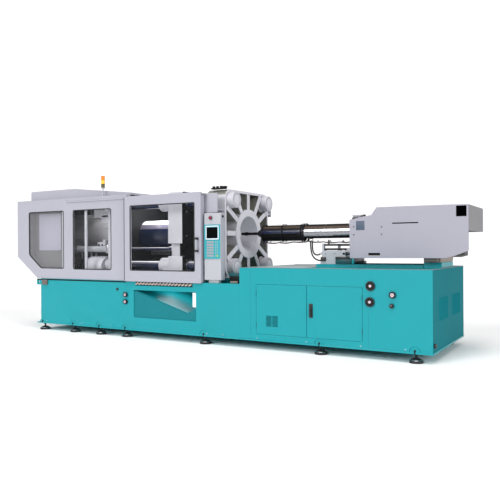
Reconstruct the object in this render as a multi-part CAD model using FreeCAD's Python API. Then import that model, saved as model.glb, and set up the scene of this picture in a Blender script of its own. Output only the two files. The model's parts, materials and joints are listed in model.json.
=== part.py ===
"""Injection moulding machine with a direct hydraulic clamp, as separate named pieces.

Units are millimetres. +X runs from the clamp end to the injection end, the operator stands on
the -Y side, and Z = 0 is the floor. The origin is on the floor under the middle of the machine.
"""
import math
import os

import FreeCAD
import Part

V = FreeCAD.Vector
X_AXIS, Y_AXIS, Z_AXIS = V(1, 0, 0), V(0, 1, 0), V(0, 0, 1)

# ---- driving dimensions -------------------------------------------------------------------
BASE_X0, BASE_X1 = -3448, 3752          # ends of the base
STEP_X = 898                            # where the base steps up to the injection end
HALF = 958                              # half the base's width
BASE_Z, CLAMP_Z, INJ_Z = 120, 952, 1197  # base underside and its two decks
PLATE = 20                              # plate thickness of the bases
AXIS_Z = 1730                           # height of the machine's axis

FOOT_X = (-3410, -2621, -1982, -1380, 234, 2192, 3523)
FOOT_Y = 893
PAD_R = 90

CHUTE_X0, CHUTE_X1 = -1181, 97          # part chute bay
CHUTE_Z0, CHUTE_Z1 = 345, 800
MANIFOLD_X0, MANIFOLD_X1 = -1128, 22
NIPPLES = 17

DOOR_X0, DOOR_X1, DOOR_MID = 1188, 2822, 2004
DOOR_Z0, DOOR_Z1 = 228, 955
DOOR_T = 20
GAP = 3                                 # gap round doors

PLATEN = 1400                           # side of the square platens
HALF_P = PLATEN / 2
BAR_PITCH = 530                         # tie bar centre from the axis, both ways
BAR_R, NUT_R = 80, 130
FIXED_X0, FIXED_X1 = 132, 482           # stationary platen: mould face and back
CORNER_R = 150                          # rounded corners of the stationary platen
RING_X, RING_R = 505, 405               # face and outer radius of its nozzle ring
MOVING_X0, MOVING_X1 = -648, -358       # moving platen: back and mould face
REAR_X0, REAR_X1 = -1998, -1648         # cylinder platen
RAM_R = 275
TRAVERSE_Y, TRAVERSE_Z = 560, 1490      # traverse cylinders

GUARD_X0, GUARD_X1 = -4109, -1348
GUARD_Y, GUARD_T = 948, 30
GUARD_Z1 = 2410
GUARD_CORNER = (-3558, 1350)            # where the sloping lower corner starts and ends

GATE_X0, GATE_X1 = -1348, 225
GATE_Z0, GATE_Z1 = 945, 2370
GATE_Y0, GATE_Y1 = 963, 1003            # back and front of the sliding gates
RAIL_Z0, RAIL_Z1 = 2333, 2353           # upper rails that the gates hang on

BOX_X0, BOX_X1 = 262, 568               # operator's control box
BOX_Z0, BOX_Z1 = 1000, 2035
BOX_D = 120

BARREL_R, BORE_R, SCREW_R = 75, 33, 32
COVER_X0, COVER_X1 = 801, 1532          # perforated barrel cover
SHIELD_X1 = 2340                        # end of the bright half-round shield
COVER_R = 128
BLOCK_X0, BLOCK_X1 = 1972, 2392         # carriage block
HOOD_Y = 540                            # half width of the injection cover
CYLINDER_Y, CYLINDER_Z = 440, 1400      # carriage cylinders
BED_Z = INJ_Z + 50                      # top of the beds that the carriage runs on
THROAT_X, THROAT_Z = 2416, 1980         # feed throat centre and flange face


# ---- shape helpers ------------------------------------------------------------------------
def box(x0, x1, y0, y1, z0, z1):
    return Part.makeBox(x1 - x0, y1 - y0, z1 - z0, V(x0, y0, z0))


def rod_x(x0, x1, y, z, r):
    return Part.makeCylinder(r, x1 - x0, V(x0, y, z), X_AXIS)


def rod_y(x, y0, y1, z, r):
    return Part.makeCylinder(r, y1 - y0, V(x, y0, z), Y_AXIS)


def rod_z(x, y, z0, z1, r):
    return Part.makeCylinder(r, z1 - z0, V(x, y, z0), Z_AXIS)


def outline(points):
    """A flat face in the XZ plane through the given (x, z) corners."""
    corners = [V(x, 0, z) for x, z in points]
    return Part.Face(Part.makePolygon(corners + corners[:1]))


def slab(points, y0, y1):
    """The outline through (x, z) points, from y0 to y1."""
    face = outline(points)
    face.translate(V(0, y0, 0))
    return face.extrude(V(0, y1 - y0, 0))


def rounded(shape, radius, direction):
    """Fillets the straight edges that run along a direction."""
    edges = [e for e in shape.Edges if abs(e.tangentAt(e.FirstParameter).dot(direction)) > 0.999]
    return shape.makeFillet(radius, edges)


def softened(shape, radius):
    """Fillets every edge of a plain block."""
    return shape.makeFillet(radius, shape.Edges)


def mirrored(shape):
    return shape.mirror(V(0, 0, 0), Y_AXIS)


def fuse(shapes):
    return shapes[0].multiFuse(shapes[1:]).removeSplitter()


def both(shape):
    return [shape, mirrored(shape)]


def save(name, shapes):
    """Writes one node; a list of shapes stays a group of separate solids."""
    shape = Part.makeCompound(shapes) if isinstance(shapes, list) else shapes
    for solid in shape.Solids:
        if not solid.isValid() or solid.Volume <= 0:
            raise ValueError(name + " has a faulty solid")
    if not isinstance(shapes, list):
        shape = shape.Solids[0]
    shape.exportStep("parts/" + name + ".step")
    print(name, len(shape.Solids), "solids", round(shape.Volume / 1e6), "litres")


def hose_route(points, radius):
    """A round hose along straight runs joined by tangent arcs; prints its length and bends."""
    path, start, length = [], points[0], 0
    for before, corner, after in zip(points, points[1:], points[2:]):
        a, b = (before - corner), (after - corner)
        short = min(a.Length, b.Length)
        a.normalize()
        b.normalize()
        turn = math.pi - a.getAngle(b)
        bend = 0.45 * short / math.tan(turn / 2)
        entry, leave = corner + a * 0.45 * short, corner + b * 0.45 * short
        middle = (a + b).normalize()
        centre_gap = math.hypot(bend, 0.45 * short)
        top = corner + middle * (centre_gap - bend)
        path += [Part.LineSegment(start, entry).toShape(), Part.Arc(entry, top, leave).toShape()]
        length += (entry - start).Length + bend * turn
        print("  bend radius", round(bend), "mm")
        start = leave
    path.append(Part.LineSegment(start, points[-1]).toShape())
    length += (points[-1] - start).Length
    section = Part.Wire(Part.makeCircle(radius, points[0], points[1] - points[0]))
    tube = Part.Wire(path).makePipeShell([section], True, False)
    ideal = math.pi * radius ** 2 * length
    print("  length", round(length), "mm, volume ratio", round(tube.Volume / ideal, 4))
    return tube


# ---- base ---------------------------------------------------------------------------------
def foot_pockets(x0, x1):
    """Blocks that line the foot pockets, and what is cut out of them, for feet between x0 and x1."""
    blocks, cuts = [], []
    for x in FOOT_X:
        if x0 < x < x1:
            left, right = max(x - 95, x0), min(x + 95, x1)
            block = box(left, right, -HALF, -HALF + 130, BASE_Z, BASE_Z + 130)
            arch = rod_y(x, -HALF - 5, -HALF + 115, BASE_Z + PLATE, 75)
            arch = arch.common(box(x - 80, x + 80, -HALF - 5, -HALF + 120, BASE_Z + PLATE, 300))
            hole = rod_z(x, -FOOT_Y, BASE_Z - 5, BASE_Z + PLATE + 5, 17)
            blocks += both(block)
            cuts += both(arch) + both(hole)
    return blocks, cuts


def clamp_base():
    body = box(BASE_X0, STEP_X, -HALF, HALF, BASE_Z, CLAMP_Z)
    inside = (BASE_Z + PLATE, CLAMP_Z - PLATE)
    bays = [box(BASE_X0 + PLATE, CHUTE_X0 - PLATE, -HALF + PLATE, HALF - PLATE, *inside),
            box(CHUTE_X0, CHUTE_X1, -HALF + PLATE, HALF - PLATE, *inside),
            box(CHUTE_X1 + PLATE, STEP_X - PLATE, -HALF + PLATE, HALF - PLATE, *inside),
            box(CHUTE_X0, CHUTE_X1, -HALF - 5, -HALF + PLATE + 5, CHUTE_Z0, CHUTE_Z1),
            box(CHUTE_X0 + 80, CHUTE_X1 - 40, -400, 400, 900, CLAMP_Z + 5)]
    blocks, cuts = foot_pockets(BASE_X0, STEP_X)
    notch = box(MANIFOLD_X0 - 12, MANIFOLD_X1 + 12, -HALF - 5, -HALF + 70, 878, CLAMP_Z + 5)
    lining = box(MANIFOLD_X0 - 32, MANIFOLD_X1 + 32, -HALF, -HALF + 90, 858, CLAMP_Z)
    rear_slot = box(CHUTE_X1 - 77, CHUTE_X1, HALF - PLATE - 5, HALF + 5, 556, CHUTE_Z1 + 13)
    end_flange = box(BASE_X0 - 100, BASE_X0, -HALF, HALF, BASE_Z, BASE_Z + PLATE)
    lug = box(BASE_X0 - 110, BASE_X0, -HALF, -HALF + 30, 834, 935)
    lug = lug.cut(rod_y(BASE_X0 - 60, -HALF - 5, -HALF + 35, 885, 25))
    body = fuse([body.cut(bays[0]).cut(bays[1]).cut(bays[2]).cut(bays[4]), lining, end_flange,
                 *both(lug), *blocks])
    return body.cut(Part.makeCompound([bays[3], rear_slot, notch])).cut(Part.makeCompound(cuts))


def injection_base():
    body = box(STEP_X, BASE_X1, -HALF, HALF, BASE_Z, INJ_Z)
    y0, y1 = -HALF + PLATE, HALF - PLATE
    z0, z1 = BASE_Z + PLATE, INJ_Z - PLATE
    bays = [box(STEP_X + PLATE, DOOR_X0 - 40, y0, y1, z0, z1),
            box(DOOR_X0 - 20, DOOR_X1 + 20, y0, y1, z0, z1),
            box(DOOR_X1 + 40, BASE_X1 - PLATE, y0, y1, z0, z1)]
    blocks, cuts = foot_pockets(STEP_X, BASE_X1)
    opening = box(DOOR_X0 - GAP, DOOR_X1 + GAP, -HALF - 5, y0, DOOR_Z0 - GAP, DOOR_Z1 + GAP)
    fans = [rod_y(x, -HALF - 5, y0 + 5, z, 54) for x, z in FANS]
    body = fuse([body.cut(Part.makeCompound(bays)), *blocks])
    return body.cut(Part.makeCompound([opening, *fans])).cut(Part.makeCompound(cuts))


def part_chute():
    """Sheet that sends the moulded parts down to the right, and the lip they land on."""
    y = HALF - PLATE - 2
    slide = slab([(CHUTE_X0, 800), (CHUTE_X0, 792), (-80, 462), (-80, 470)], -y, y)
    lip = slab([(-80, 462), (-80, 470), (CHUTE_X1, 560), (CHUTE_X1, 552)], -y, y)
    return fuse([slide, lip])


def feet():
    pads, studs = [], []
    for x in FOOT_X:
        for side in (-1, 1):
            y = side * FOOT_Y
            rim = Part.makeCylinder(PAD_R, 34, V(x, y, 0))
            dome = Part.makeCone(PAD_R - 6, 46, 26, V(x, y, 34))
            pads.append(rim.fuse(dome).removeSplitter().cut(rod_z(x, y, 50, 62, 14)))
            stud = rod_z(x, y, 50, 196, 14)
            nuts = []
            for z in (98, BASE_Z + PLATE):
                hexagon = [V(x + 26 * math.cos(a), y + 26 * math.sin(a), z)
                           for a in (k * math.pi / 3 for k in range(7))]
                nuts.append(Part.Face(Part.makePolygon(hexagon)).extrude(V(0, 0, 22)))
            studs.append(stud.multiFuse(nuts).removeSplitter())
    return pads, studs


# ---- things on the base -------------------------------------------------------------------
FANS = ((2939, 977), (2931, 764))
GAUGES = ((-1351, 719, 40), (-1352, 600, 40), (3239, 868, 43))


def fan_housing(x, z):
    ring = rod_y(x, -HALF - 22, -HALF, z, 64).cut(rod_y(x, -HALF - 25, -HALF + 5, z, 54))
    grille = rod_y(x, -HALF - 22, -HALF - 17, z, 20)
    for k in range(4):
        spoke = box(x - 56, x + 56, -HALF - 22, -HALF - 17, z - 2, z + 2)
        spoke.rotate(V(x, 0, z), Y_AXIS, 45 * k)
        grille = grille.fuse(spoke)
    for r in (32, 44):
        ring_wire = rod_y(x, -HALF - 22, -HALF - 17, z, r + 2).cut(
            rod_y(x, -HALF - 25, -HALF - 15, z, r - 2))
        grille = grille.fuse(ring_wire)
    return fuse([ring, grille])


def fan_rotor(x, z):
    rotor = rod_y(x, -HALF - 14, -HALF + 16, z, 17)
    for k in range(5):
        blade = box(x - 8, x + 8, -HALF - 2, -HALF + 2, z, z + 49)
        blade.rotate(V(x, -HALF, z), Z_AXIS, 30)
        blade.rotate(V(x, 0, z), Y_AXIS, 72 * k)
        rotor = rotor.fuse(blade)
    return rotor.removeSplitter()


def gauge_case(x, z, r):
    case = rod_y(x, -HALF - 34, -HALF, z, r)
    dial = rod_y(x, -HALF - 35, -HALF - 30, z, r - 6)
    return case.cut(dial)


def control_knob():
    x, z = 3228, 724
    return rod_y(x, -HALF - 30, -HALF - 2, z, 30).fuse(rod_y(x, -HALF - 44, -HALF - 30, z, 17))


def water_manifold():
    bar = box(MANIFOLD_X0, MANIFOLD_X1, -HALF + 22, -HALF + 70, 884, 944)
    pitch = (MANIFOLD_X1 - MANIFOLD_X0 - 60) / (NIPPLES - 1)
    nipples = []
    for k in range(NIPPLES):
        root = V(MANIFOLD_X0 + 30 + k * pitch, -HALF + 26, 922)
        way = V(-0.25, -1, -0.45).normalize()
        nipples.append(Part.makeCylinder(13, 26, root, way))
        nipples.append(Part.makeCylinder(9, 58, root, way))
    return fuse([bar, *nipples])


def pump_set():
    """Electric motor, bell housing and pump behind the cabinet doors."""
    motor = rod_x(1300, 1900, 200, 520, 190)
    bell = rod_x(1900, 2060, 200, 520, 130)
    pump = rod_x(2060, 2320, 200, 520, 105)
    plinth = box(1330, 2300, 60, 340, BASE_Z + PLATE, 345)
    terminal = box(1500, 1680, 130, 270, 700, 800)
    return fuse([motor, bell, pump, plinth, terminal])


def cabinet_door(left):
    if left:
        x0, x1 = DOOR_X0, DOOR_MID - GAP
    else:
        x0, x1 = DOOR_MID + GAP, DOOR_X1
    panel = box(x0, x1, -HALF - 1, -HALF - 1 + DOOR_T, DOOR_Z0, DOOR_Z1)
    cuts = [box(x0 + 25, x1 - 25, -HALF + 3, -HALF + 30, DOOR_Z0 + 25, DOOR_Z1 - 25)]
    if left:
        for u in (1355, 1458):
            for k in range(9):
                cuts.append(box(u, u + 86, -HALF - 5, -HALF + 5, 349 + 18 * k, 355 + 18 * k))
    return panel.cut(Part.makeCompound(cuts))


def door_latch():
    plate = box(2050, 2094, -HALF - 22, -HALF - 3, 514, 700)
    plate = rounded(plate, 12, Y_AXIS)
    grip = box(2060, 2084, -HALF - 40, -HALF - 22, 530, 650)
    return plate.fuse(softened(grip, 5)).removeSplitter()


# ---- clamp --------------------------------------------------------------------------------
BAR_AT = [(sy * BAR_PITCH, AXIS_Z + sz * BAR_PITCH) for sy in (-1, 1) for sz in (-1, 1)]


def square(x0, x1, half, radius):
    """A square block about the axis with rounded long edges."""
    block = box(x0, x1, -half, half, AXIS_Z - half, AXIS_Z + half)
    return rounded(block, radius, X_AXIS) if radius else block


def tapped(x0, x1, spacing, r):
    s = spacing / 2
    return [rod_x(x0, x1, y, AXIS_Z + z, r) for y in (-s, s) for z in (-s, s)]


def stationary_platen():
    wall, rib, plate_x = 42, 46, FIXED_X0 + 120
    shell = square(FIXED_X0, FIXED_X1, HALF_P, CORNER_R).cut(
        square(plate_x, FIXED_X1 + 5, HALF_P - wall, CORNER_R - wall))
    ribs = [box(plate_x, FIXED_X1, -rib / 2, rib / 2, AXIS_Z - HALF_P + 5, AXIS_Z + HALF_P - 5),
            box(plate_x, FIXED_X1, -HALF_P + 5, HALF_P - 5, AXIS_Z - rib / 2, AXIS_Z + rib / 2)]
    for quarter in range(4):
        for tilt in (-13, 13):
            r = box(plate_x, FIXED_X1 - 10, 300, 0.93 * HALF_P * math.sqrt(2) - 40,
                    AXIS_Z - rib / 2, AXIS_Z + rib / 2)
            r.rotate(V(0, 0, AXIS_Z), X_AXIS, 45 + 90 * quarter + tilt)
            ribs.append(r.common(square(FIXED_X0, FIXED_X1, HALF_P - 5, 0)))
    bosses = [rod_x(plate_x, FIXED_X1 - 30, y, z, 150).common(
        square(FIXED_X0, FIXED_X1, HALF_P, CORNER_R)) for y, z in BAR_AT]
    ring = rod_x(plate_x, RING_X, 0, AXIS_Z, RING_R)
    body = fuse([shell, ring, *ribs, *bosses])
    feet_blocks = [box(FIXED_X0, FIXED_X1, 440, 640, CLAMP_Z, AXIS_Z - HALF_P + 30)]
    feet_blocks += [mirrored(feet_blocks[0])]
    body = fuse([body, *feet_blocks])
    dish = Part.makeCone(150, 292, RING_X - plate_x + 2, V(plate_x, 0, AXIS_Z), X_AXIS)
    holes = [dish, rod_x(FIXED_X0 - 5, FIXED_X0 + 100, 0, AXIS_Z, 80),
             rod_x(FIXED_X0, plate_x + 5, 0, AXIS_Z, 62)]
    holes += [rod_x(FIXED_X0 - 5, FIXED_X1 + 5, y, z, BAR_R) for y, z in BAR_AT]
    holes += tapped(FIXED_X0 - 5, FIXED_X0 + 45, 420, 10) + tapped(FIXED_X0 - 5, FIXED_X0 + 45, 700, 10)
    top = AXIS_Z + HALF_P
    holes += [rod_z(x, y, top - 30, top + 5, 8) for x in (200, 400) for y in (-200, 200)]
    holes += [rod_x(FIXED_X1 - 30, FIXED_X1 + 5, y, z, NUT_R + 2) for y, z in BAR_AT]
    return body.cut(Part.makeCompound(holes))


def moving_platen():
    body = square(MOVING_X0, MOVING_X1, HALF_P, 60)
    hub = rod_x(MOVING_X0 - 100, MOVING_X0, 0, AXIS_Z, 340)
    bosses = [rod_x(MOVING_X0 - 240, MOVING_X0, y, z, 135) for y, z in BAR_AT]
    shoe = box(-788, -330, 430, 680, CLAMP_Z + 11, AXIS_Z - HALF_P + 40)
    web = box(-788, MOVING_X0, 430, 680, AXIS_Z - HALF_P - 5, AXIS_Z - HALF_P + 120)
    body = fuse([body, hub, *bosses, *both(shoe), *both(web)])
    notch = box(MOVING_X0 - 5, MOVING_X1 + 5, -HALF_P - 5, -HALF_P + 90, 1364, 1576)
    holes = both(notch) + [rod_x(-900, MOVING_X1 + 5, y, z, BAR_R + 1) for y, z in BAR_AT]
    holes.append(rod_x(MOVING_X1 - 230, MOVING_X1 + 5, 0, AXIS_Z, 60))
    holes += tapped(MOVING_X1 - 40, MOVING_X1 + 5, 420, 10) + tapped(MOVING_X1 - 40, MOVING_X1 + 5, 700, 10)
    return body.cut(Part.makeCompound(holes))


def rear_platen():
    body = square(REAR_X0, REAR_X1, HALF_P, 60)
    bosses = [rod_x(REAR_X0 - 40, REAR_X0, y, z, 150).common(square(-3000, 0, HALF_P, 60))
              for y, z in BAR_AT]
    feet_blocks = both(box(REAR_X0, REAR_X1, 440, 660, CLAMP_Z, AXIS_Z - HALF_P + 30))
    body = fuse([body, *bosses, *feet_blocks])
    holes = [rod_x(REAR_X0 - 50, REAR_X1 + 5, 0, AXIS_Z, RAM_R + 3)]
    holes += [rod_x(REAR_X0 - 50, REAR_X1 + 5, y, z, BAR_R) for y, z in BAR_AT]
    holes += [rod_x(REAR_X0 - 5, REAR_X1 + 5, s * TRAVERSE_Y, TRAVERSE_Z, 26) for s in (-1, 1)]
    return body.cut(Part.makeCompound(holes))


def main_cylinder():
    barrel = rod_x(-3560, REAR_X0, 0, AXIS_Z, 400)
    flange = rod_x(REAR_X0 - 110, REAR_X0, 0, AXIS_Z, 470)
    cap = rod_x(-3610, -3560, 0, AXIS_Z, 330)
    bore = rod_x(-3400, REAR_X0 + 5, 0, AXIS_Z, RAM_R + 3)
    saddle = box(-3300, -3180, -260, 260, CLAMP_Z, AXIS_Z - 250)
    valve = box(-3380, -3080, -140, 140, AXIS_Z + 380, AXIS_Z + 560)
    gussets = []
    for k in range(8):
        rib = slab([(REAR_X0 - 110, 400), (REAR_X0 - 400, 400), (REAR_X0 - 110, 465)], -15, 15)
        rib.translate(V(0, 0, -6))
        rib.rotate(V(0, 0, 0), X_AXIS, 22.5 + 45 * k)
        rib.translate(V(0, 0, AXIS_Z))
        gussets.append(rib)
    return fuse([barrel, flange, cap, saddle, valve, *gussets]).cut(bore)


def tie_bars():
    bars = [rod_x(-2150, 600, y, z, BAR_R) for y, z in BAR_AT]
    nuts = []
    for y, z in BAR_AT:
        front = rod_x(FIXED_X1 - 30, 600, y, z, NUT_R)
        rear = rod_x(-2140, REAR_X0 - 40, y, z, NUT_R - 5)
        nuts += [n.cut(rod_x(-2200, 700, y, z, BAR_R)) for n in (front, rear)]
    return bars, nuts


def ram():
    return rod_x(-2650, MOVING_X0 - 100, 0, AXIS_Z, RAM_R)


def traverse_cylinder(side):
    y = side * TRAVERSE_Y
    tube = rod_x(-3560, REAR_X0, y, TRAVERSE_Z, 55).cut(
        rod_x(-3540, REAR_X0 + 5, y, TRAVERSE_Z, 40))
    collar = rod_x(REAR_X0 - 40, REAR_X0, y, TRAVERSE_Z, 70).cut(
        rod_x(REAR_X0 - 50, REAR_X0 + 5, y, TRAVERSE_Z, 54))
    return tube.fuse(collar).removeSplitter()


def traverse_rod(side):
    y = side * TRAVERSE_Y
    rod = rod_x(-2850, MOVING_X0, y, TRAVERSE_Z, 22)
    end = rod_x(MOVING_X0 - 70, MOVING_X0, y, TRAVERSE_Z, 38)
    return rod.fuse(end).removeSplitter()


def safety_bar():
    bar = rod_x(-1060, MOVING_X0, -625, 1425, 32)
    return bar


def ejector_rod():
    rod = rod_x(MOVING_X1 - 200, MOVING_X1 - 2, 0, AXIS_Z, 28)
    return rod.fuse(rod_x(MOVING_X1 - 225, MOVING_X1 - 200, 0, AXIS_Z, 50)).removeSplitter()


# ---- guards and gates ---------------------------------------------------------------------
WINDOW_1 = [(-3783, 1390), (-3783, 2190), (-2848, 2190), (-2848, 1140), (-3455, 1140)]
WINDOW_2 = [(-2613, 1130), (-2613, 2190), (-1691, 2190), (-1691, 1130)]
GATE_WINDOW = [(-1218, 1130), (-1218, 2210), (109, 2210), (109, 1130)]


def window(points, y0, y1, radius=40):
    return rounded(slab(points, y0, y1), radius, Y_AXIS)


def side_panel():
    low_x, high_z = GUARD_CORNER
    shape = slab([(GUARD_X0, high_z), (GUARD_X0, GUARD_Z1), (GUARD_X1, GUARD_Z1),
                  (GUARD_X1, CLAMP_Z), (low_x, CLAMP_Z)], -GUARD_Y, -GUARD_Y + GUARD_T)
    shape = rounded(shape, 12, Y_AXIS)
    holes = [window(w, -GUARD_Y - 5, -GUARD_Y + GUARD_T + 5) for w in (WINDOW_1, WINDOW_2)]
    return shape.cut(Part.makeCompound(holes))


def guard_windows():
    panes = [window(w, -GUARD_Y + 14, -GUARD_Y + 20) for w in (WINDOW_1, WINDOW_2)]
    return panes + [mirrored(p) for p in panes]


def guard_end_panel():
    low_x, high_z = GUARD_CORNER
    y = GUARD_Y - GUARD_T
    sheet = slab([(GUARD_X0, high_z), (GUARD_X0, GUARD_Z1 - 30), (GUARD_X0 + GUARD_T, GUARD_Z1 - 30),
                  (GUARD_X0 + GUARD_T, high_z + 12), (low_x + 20, CLAMP_Z + 26),
                  (low_x + 20, CLAMP_Z), (low_x, CLAMP_Z)], -y, y)
    return sheet


def guard_roof():
    """Top sheet with the raised hood over the clamp cylinder."""
    y, hood_y, x0 = GUARD_Y - GUARD_T, 838, -3848
    sheet = box(GUARD_X0, GUARD_X1, -y, y, GUARD_Z1 - 30, GUARD_Z1)
    profile = [(x0, GUARD_Z1 - 5), (x0, 2590), (-2698, 2590), (GUARD_X1, 2455),
               (GUARD_X1, GUARD_Z1 - 5)]
    hood = rounded(slab(profile, -hood_y, hood_y), 25, Y_AXIS)
    hollow = slab([(x0 + 20, GUARD_Z1 - 40), (x0 + 20, 2570), (-2700, 2570), (GUARD_X1 - 20, 2437),
                   (GUARD_X1 - 20, GUARD_Z1 - 40)], -hood_y + 20, hood_y - 20)
    doorway = box(GUARD_X1 - 25, GUARD_X1 + 5, -hood_y + 20, hood_y - 20, GUARD_Z1 - 40, GUARD_Z1 - 5)
    return fuse([sheet, hood]).cut(Part.makeCompound([hollow, doorway]))


def gate_rails():
    """Upper rails of both gates, the lower tracks, and the bracket over the control box."""
    rail = box(-2760, 240, -GATE_Y0 + 2, -GUARD_Y - 1, RAIL_Z0, RAIL_Z1)
    hanger = [box(x, x + 60, -GUARD_Y - 1, -GUARD_Y, RAIL_Z0, RAIL_Z1) for x in (-2700, -2000, -1420)]
    tab = box(200, 240, -GUARD_Y - 1, -858, RAIL_Z0, RAIL_Z1)
    sheet = box(192, 452, -868, -858, 2050, RAIL_Z1)
    foot = box(FIXED_X0 + 100, 452, -858, -HALF_P, 2080, 2110)
    upper = fuse([rail, *hanger, tab, sheet, foot])
    track = box(-3548, GUARD_X1 + 2, -HALF - 3.5, -HALF, 922, 944)
    return [upper, mirrored(upper), track, mirrored(track)]


def gate(side):
    shape = box(GATE_X0, GATE_X1, -GATE_Y1, -GATE_Y0, GATE_Z0, GATE_Z1)
    shape = softened(shape, 8).cut(window(GATE_WINDOW, -GATE_Y1 - 5, -GATE_Y0 + 5, 25))
    lip = box(GATE_X1 - 20, GATE_X1, -GATE_Y0 - 10, -905, 965, RAIL_Z0 - 10)
    shoes = [box(x, x + 60, -GATE_Y0 - 2, -GUARD_Y - 1.5, RAIL_Z1 + 2, GATE_Z1 - 3)
             for x in (GATE_X0 + 10, 120)]
    shape = fuse([shape, lip, *shoes])
    return shape if side < 0 else mirrored(shape)


def gate_pane(side):
    pane = window(GATE_WINDOW, -GATE_Y1 + 17, -GATE_Y1 + 23, 25)
    return pane if side < 0 else mirrored(pane)


def gate_handle(side):
    x, z0, z1 = 167, 1434, 1661
    ends = [rounded(box(x - 18, x + 18, -GATE_Y1 - 59, -GATE_Y1, z, z + 34), 8, Z_AXIS)
            for z in (z0, z1 - 34)]
    grip = rod_z(x, -GATE_Y1 - 42, z0 + 20, z1 - 20, 14)
    shape = fuse([*ends, grip])
    return shape if side < 0 else mirrored(shape)


# ---- operator's side ----------------------------------------------------------------------
ESTOP_X, ESTOP_Z = 391, 1960


def control_box():
    shell = softened(box(BOX_X0, BOX_X1, -HALF, -HALF + BOX_D, BOX_Z0, BOX_Z1), 9)
    shell = shell.cut(box(BOX_X0 + 9, BOX_X1 - 9, -HALF + 9, -HALF + BOX_D - 9, BOX_Z0 + 9, BOX_Z1 - 9))
    stand = box(BOX_X0 + 60, BOX_X1 - 60, -HALF + 30, -HALF + 100, CLAMP_Z, BOX_Z0 + 6)
    arm = box(FIXED_X0 + 200, FIXED_X1 - 40, -HALF + BOX_D - 6, -HALF_P, 1780, 1830)
    collar = rod_y(ESTOP_X, -HALF - 14, -HALF + 2, ESTOP_Z, 21)
    body = fuse([shell, stand, arm, collar])
    return body.cut(rod_y(ESTOP_X, -HALF - 20, -HALF + 5, ESTOP_Z, 10))


def control_panel():
    panel = rounded(box(265, 560, -HALF - 6, -HALF, 1330, 1857), 8, Y_AXIS)
    bezel = rounded(box(297, 542, -HALF - 14, -HALF - 6, 1625, 1840), 10, Y_AXIS)
    glass = box(315, 519, -HALF - 20, -HALF - 8, 1645, 1814)
    return panel.fuse(bezel).removeSplitter().cut(glass)


def estop_button():
    head = Part.makeCone(22, 26, 8, V(ESTOP_X, -HALF - 40, ESTOP_Z), Y_AXIS)
    neck = rod_y(ESTOP_X, -HALF - 32, -HALF - 24, ESTOP_Z, 26)
    stem = rod_y(ESTOP_X, -HALF - 24, -HALF - 1, ESTOP_Z, 9)
    return fuse([head, neck, stem])


TOWER_X, TOWER_Y = -1913, -908


def signal_pole():
    flange = rod_z(TOWER_X, TOWER_Y, GUARD_Z1, GUARD_Z1 + 8, 32)
    pole = rod_z(TOWER_X, TOWER_Y, GUARD_Z1, 2552, 10)
    seat = rod_z(TOWER_X, TOWER_Y, 2545, 2560, 30)
    return fuse([flange, pole, seat])


def signal_lens(level):
    z = 2560 + 66 * level
    lens = rod_z(TOWER_X, TOWER_Y, z, z + 62, 32)
    if level == 2:
        return fuse([lens, Part.makeCone(31, 26, 9, V(TOWER_X, TOWER_Y, z + 62))])
    return fuse([lens, rod_z(TOWER_X, TOWER_Y, z + 62, z + 66, 28)])


# ---- rails and injection unit -------------------------------------------------------------
def slide_rails():
    clamp = both(box(REAR_X1, FIXED_X0, 480, 640, CLAMP_Z, CLAMP_Z + 10))
    injection = both(box(1880, 3480, 240, 350, INJ_Z, BED_Z))
    return clamp + injection


def carriage_support():
    """Fixed block at the end of the beds; the carriage beams slide over it."""
    foot = box(3486, 3726, -352, 352, INJ_Z, 1280)
    head = softened(box(3494, 3718, -376, 376, 1276, 1350), 3)
    return foot.fuse(head).removeSplitter()


def carriage_cylinder(side):
    y = CYLINDER_Y
    tube = rod_x(3100, 3882, y, CYLINDER_Z, 40).cut(rod_x(3095, 3850, y, CYLINDER_Z, 30))
    gland = rod_x(3100, 3130, y, CYLINDER_Z, 46).cut(rod_x(3095, 3135, y, CYLINDER_Z, 30))
    bracket = [box(3520, 3700, 376, 485, 1300, 1346), box(3520, 3700, 402, 478, 1340, 1385)]
    bracket = fuse(bracket).cut(rod_x(3400, 3800, y, CYLINDER_Z, 35))
    shape = fuse([tube, gland, bracket])
    return shape if side > 0 else mirrored(shape)


def carriage():
    block = softened(box(BLOCK_X0, BLOCK_X1, -350, 350, 1276, 1448), 10)
    housing = box(2345, 2480, -170, 170, 1440, 1880)
    shoes = both(box(1952, 2422, 250, 350, BED_Z + 1, 1286))
    lugs = both(box(2352, BLOCK_X1, 340, 470, 1370, 1430))
    beams = both(box(2380, 3660, 350, 375, 1352, 1480))
    cross = box(3640, 3660, -375, 375, 1352, 1480)
    spacers = both(box(2600, 2640, 370, HOOD_Y - 8, 1450, 1480))
    spacers += both(box(3500, 3540, 370, HOOD_Y - 8, 1450, 1480))
    tubes = both(rod_x(2470, 2740, 250, AXIS_Z, 70))
    ears = both(box(2440, 2480, 160, 330, 1640, 1820))
    rod_ears = both(box(BLOCK_X0, BLOCK_X0 + 30, 285, 331, 1440, 1552))
    solids = [block, housing, cross, *shoes, *lugs, *beams, *spacers, *tubes, *ears, *rod_ears]
    holes = [rod_x(2255, 2490, 0, AXIS_Z, BARREL_R + 1)]
    holes += both(rod_x(2478, 2745, 250, AXIS_Z, 40))
    holes.append(rod_z(THROAT_X, 0, AXIS_Z, 1885, 40))
    return fuse(solids).cut(Part.makeCompound(holes))


def carriage_rods():
    guides = [rod_x(BLOCK_X0 + 30, 3300, s * 308, z, 14) for s in (-1, 1) for z in (1531, 1468)]
    return guides + [rod_x(BLOCK_X1, 3250, s * CYLINDER_Y, CYLINDER_Z, 18) for s in (-1, 1)]


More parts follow.
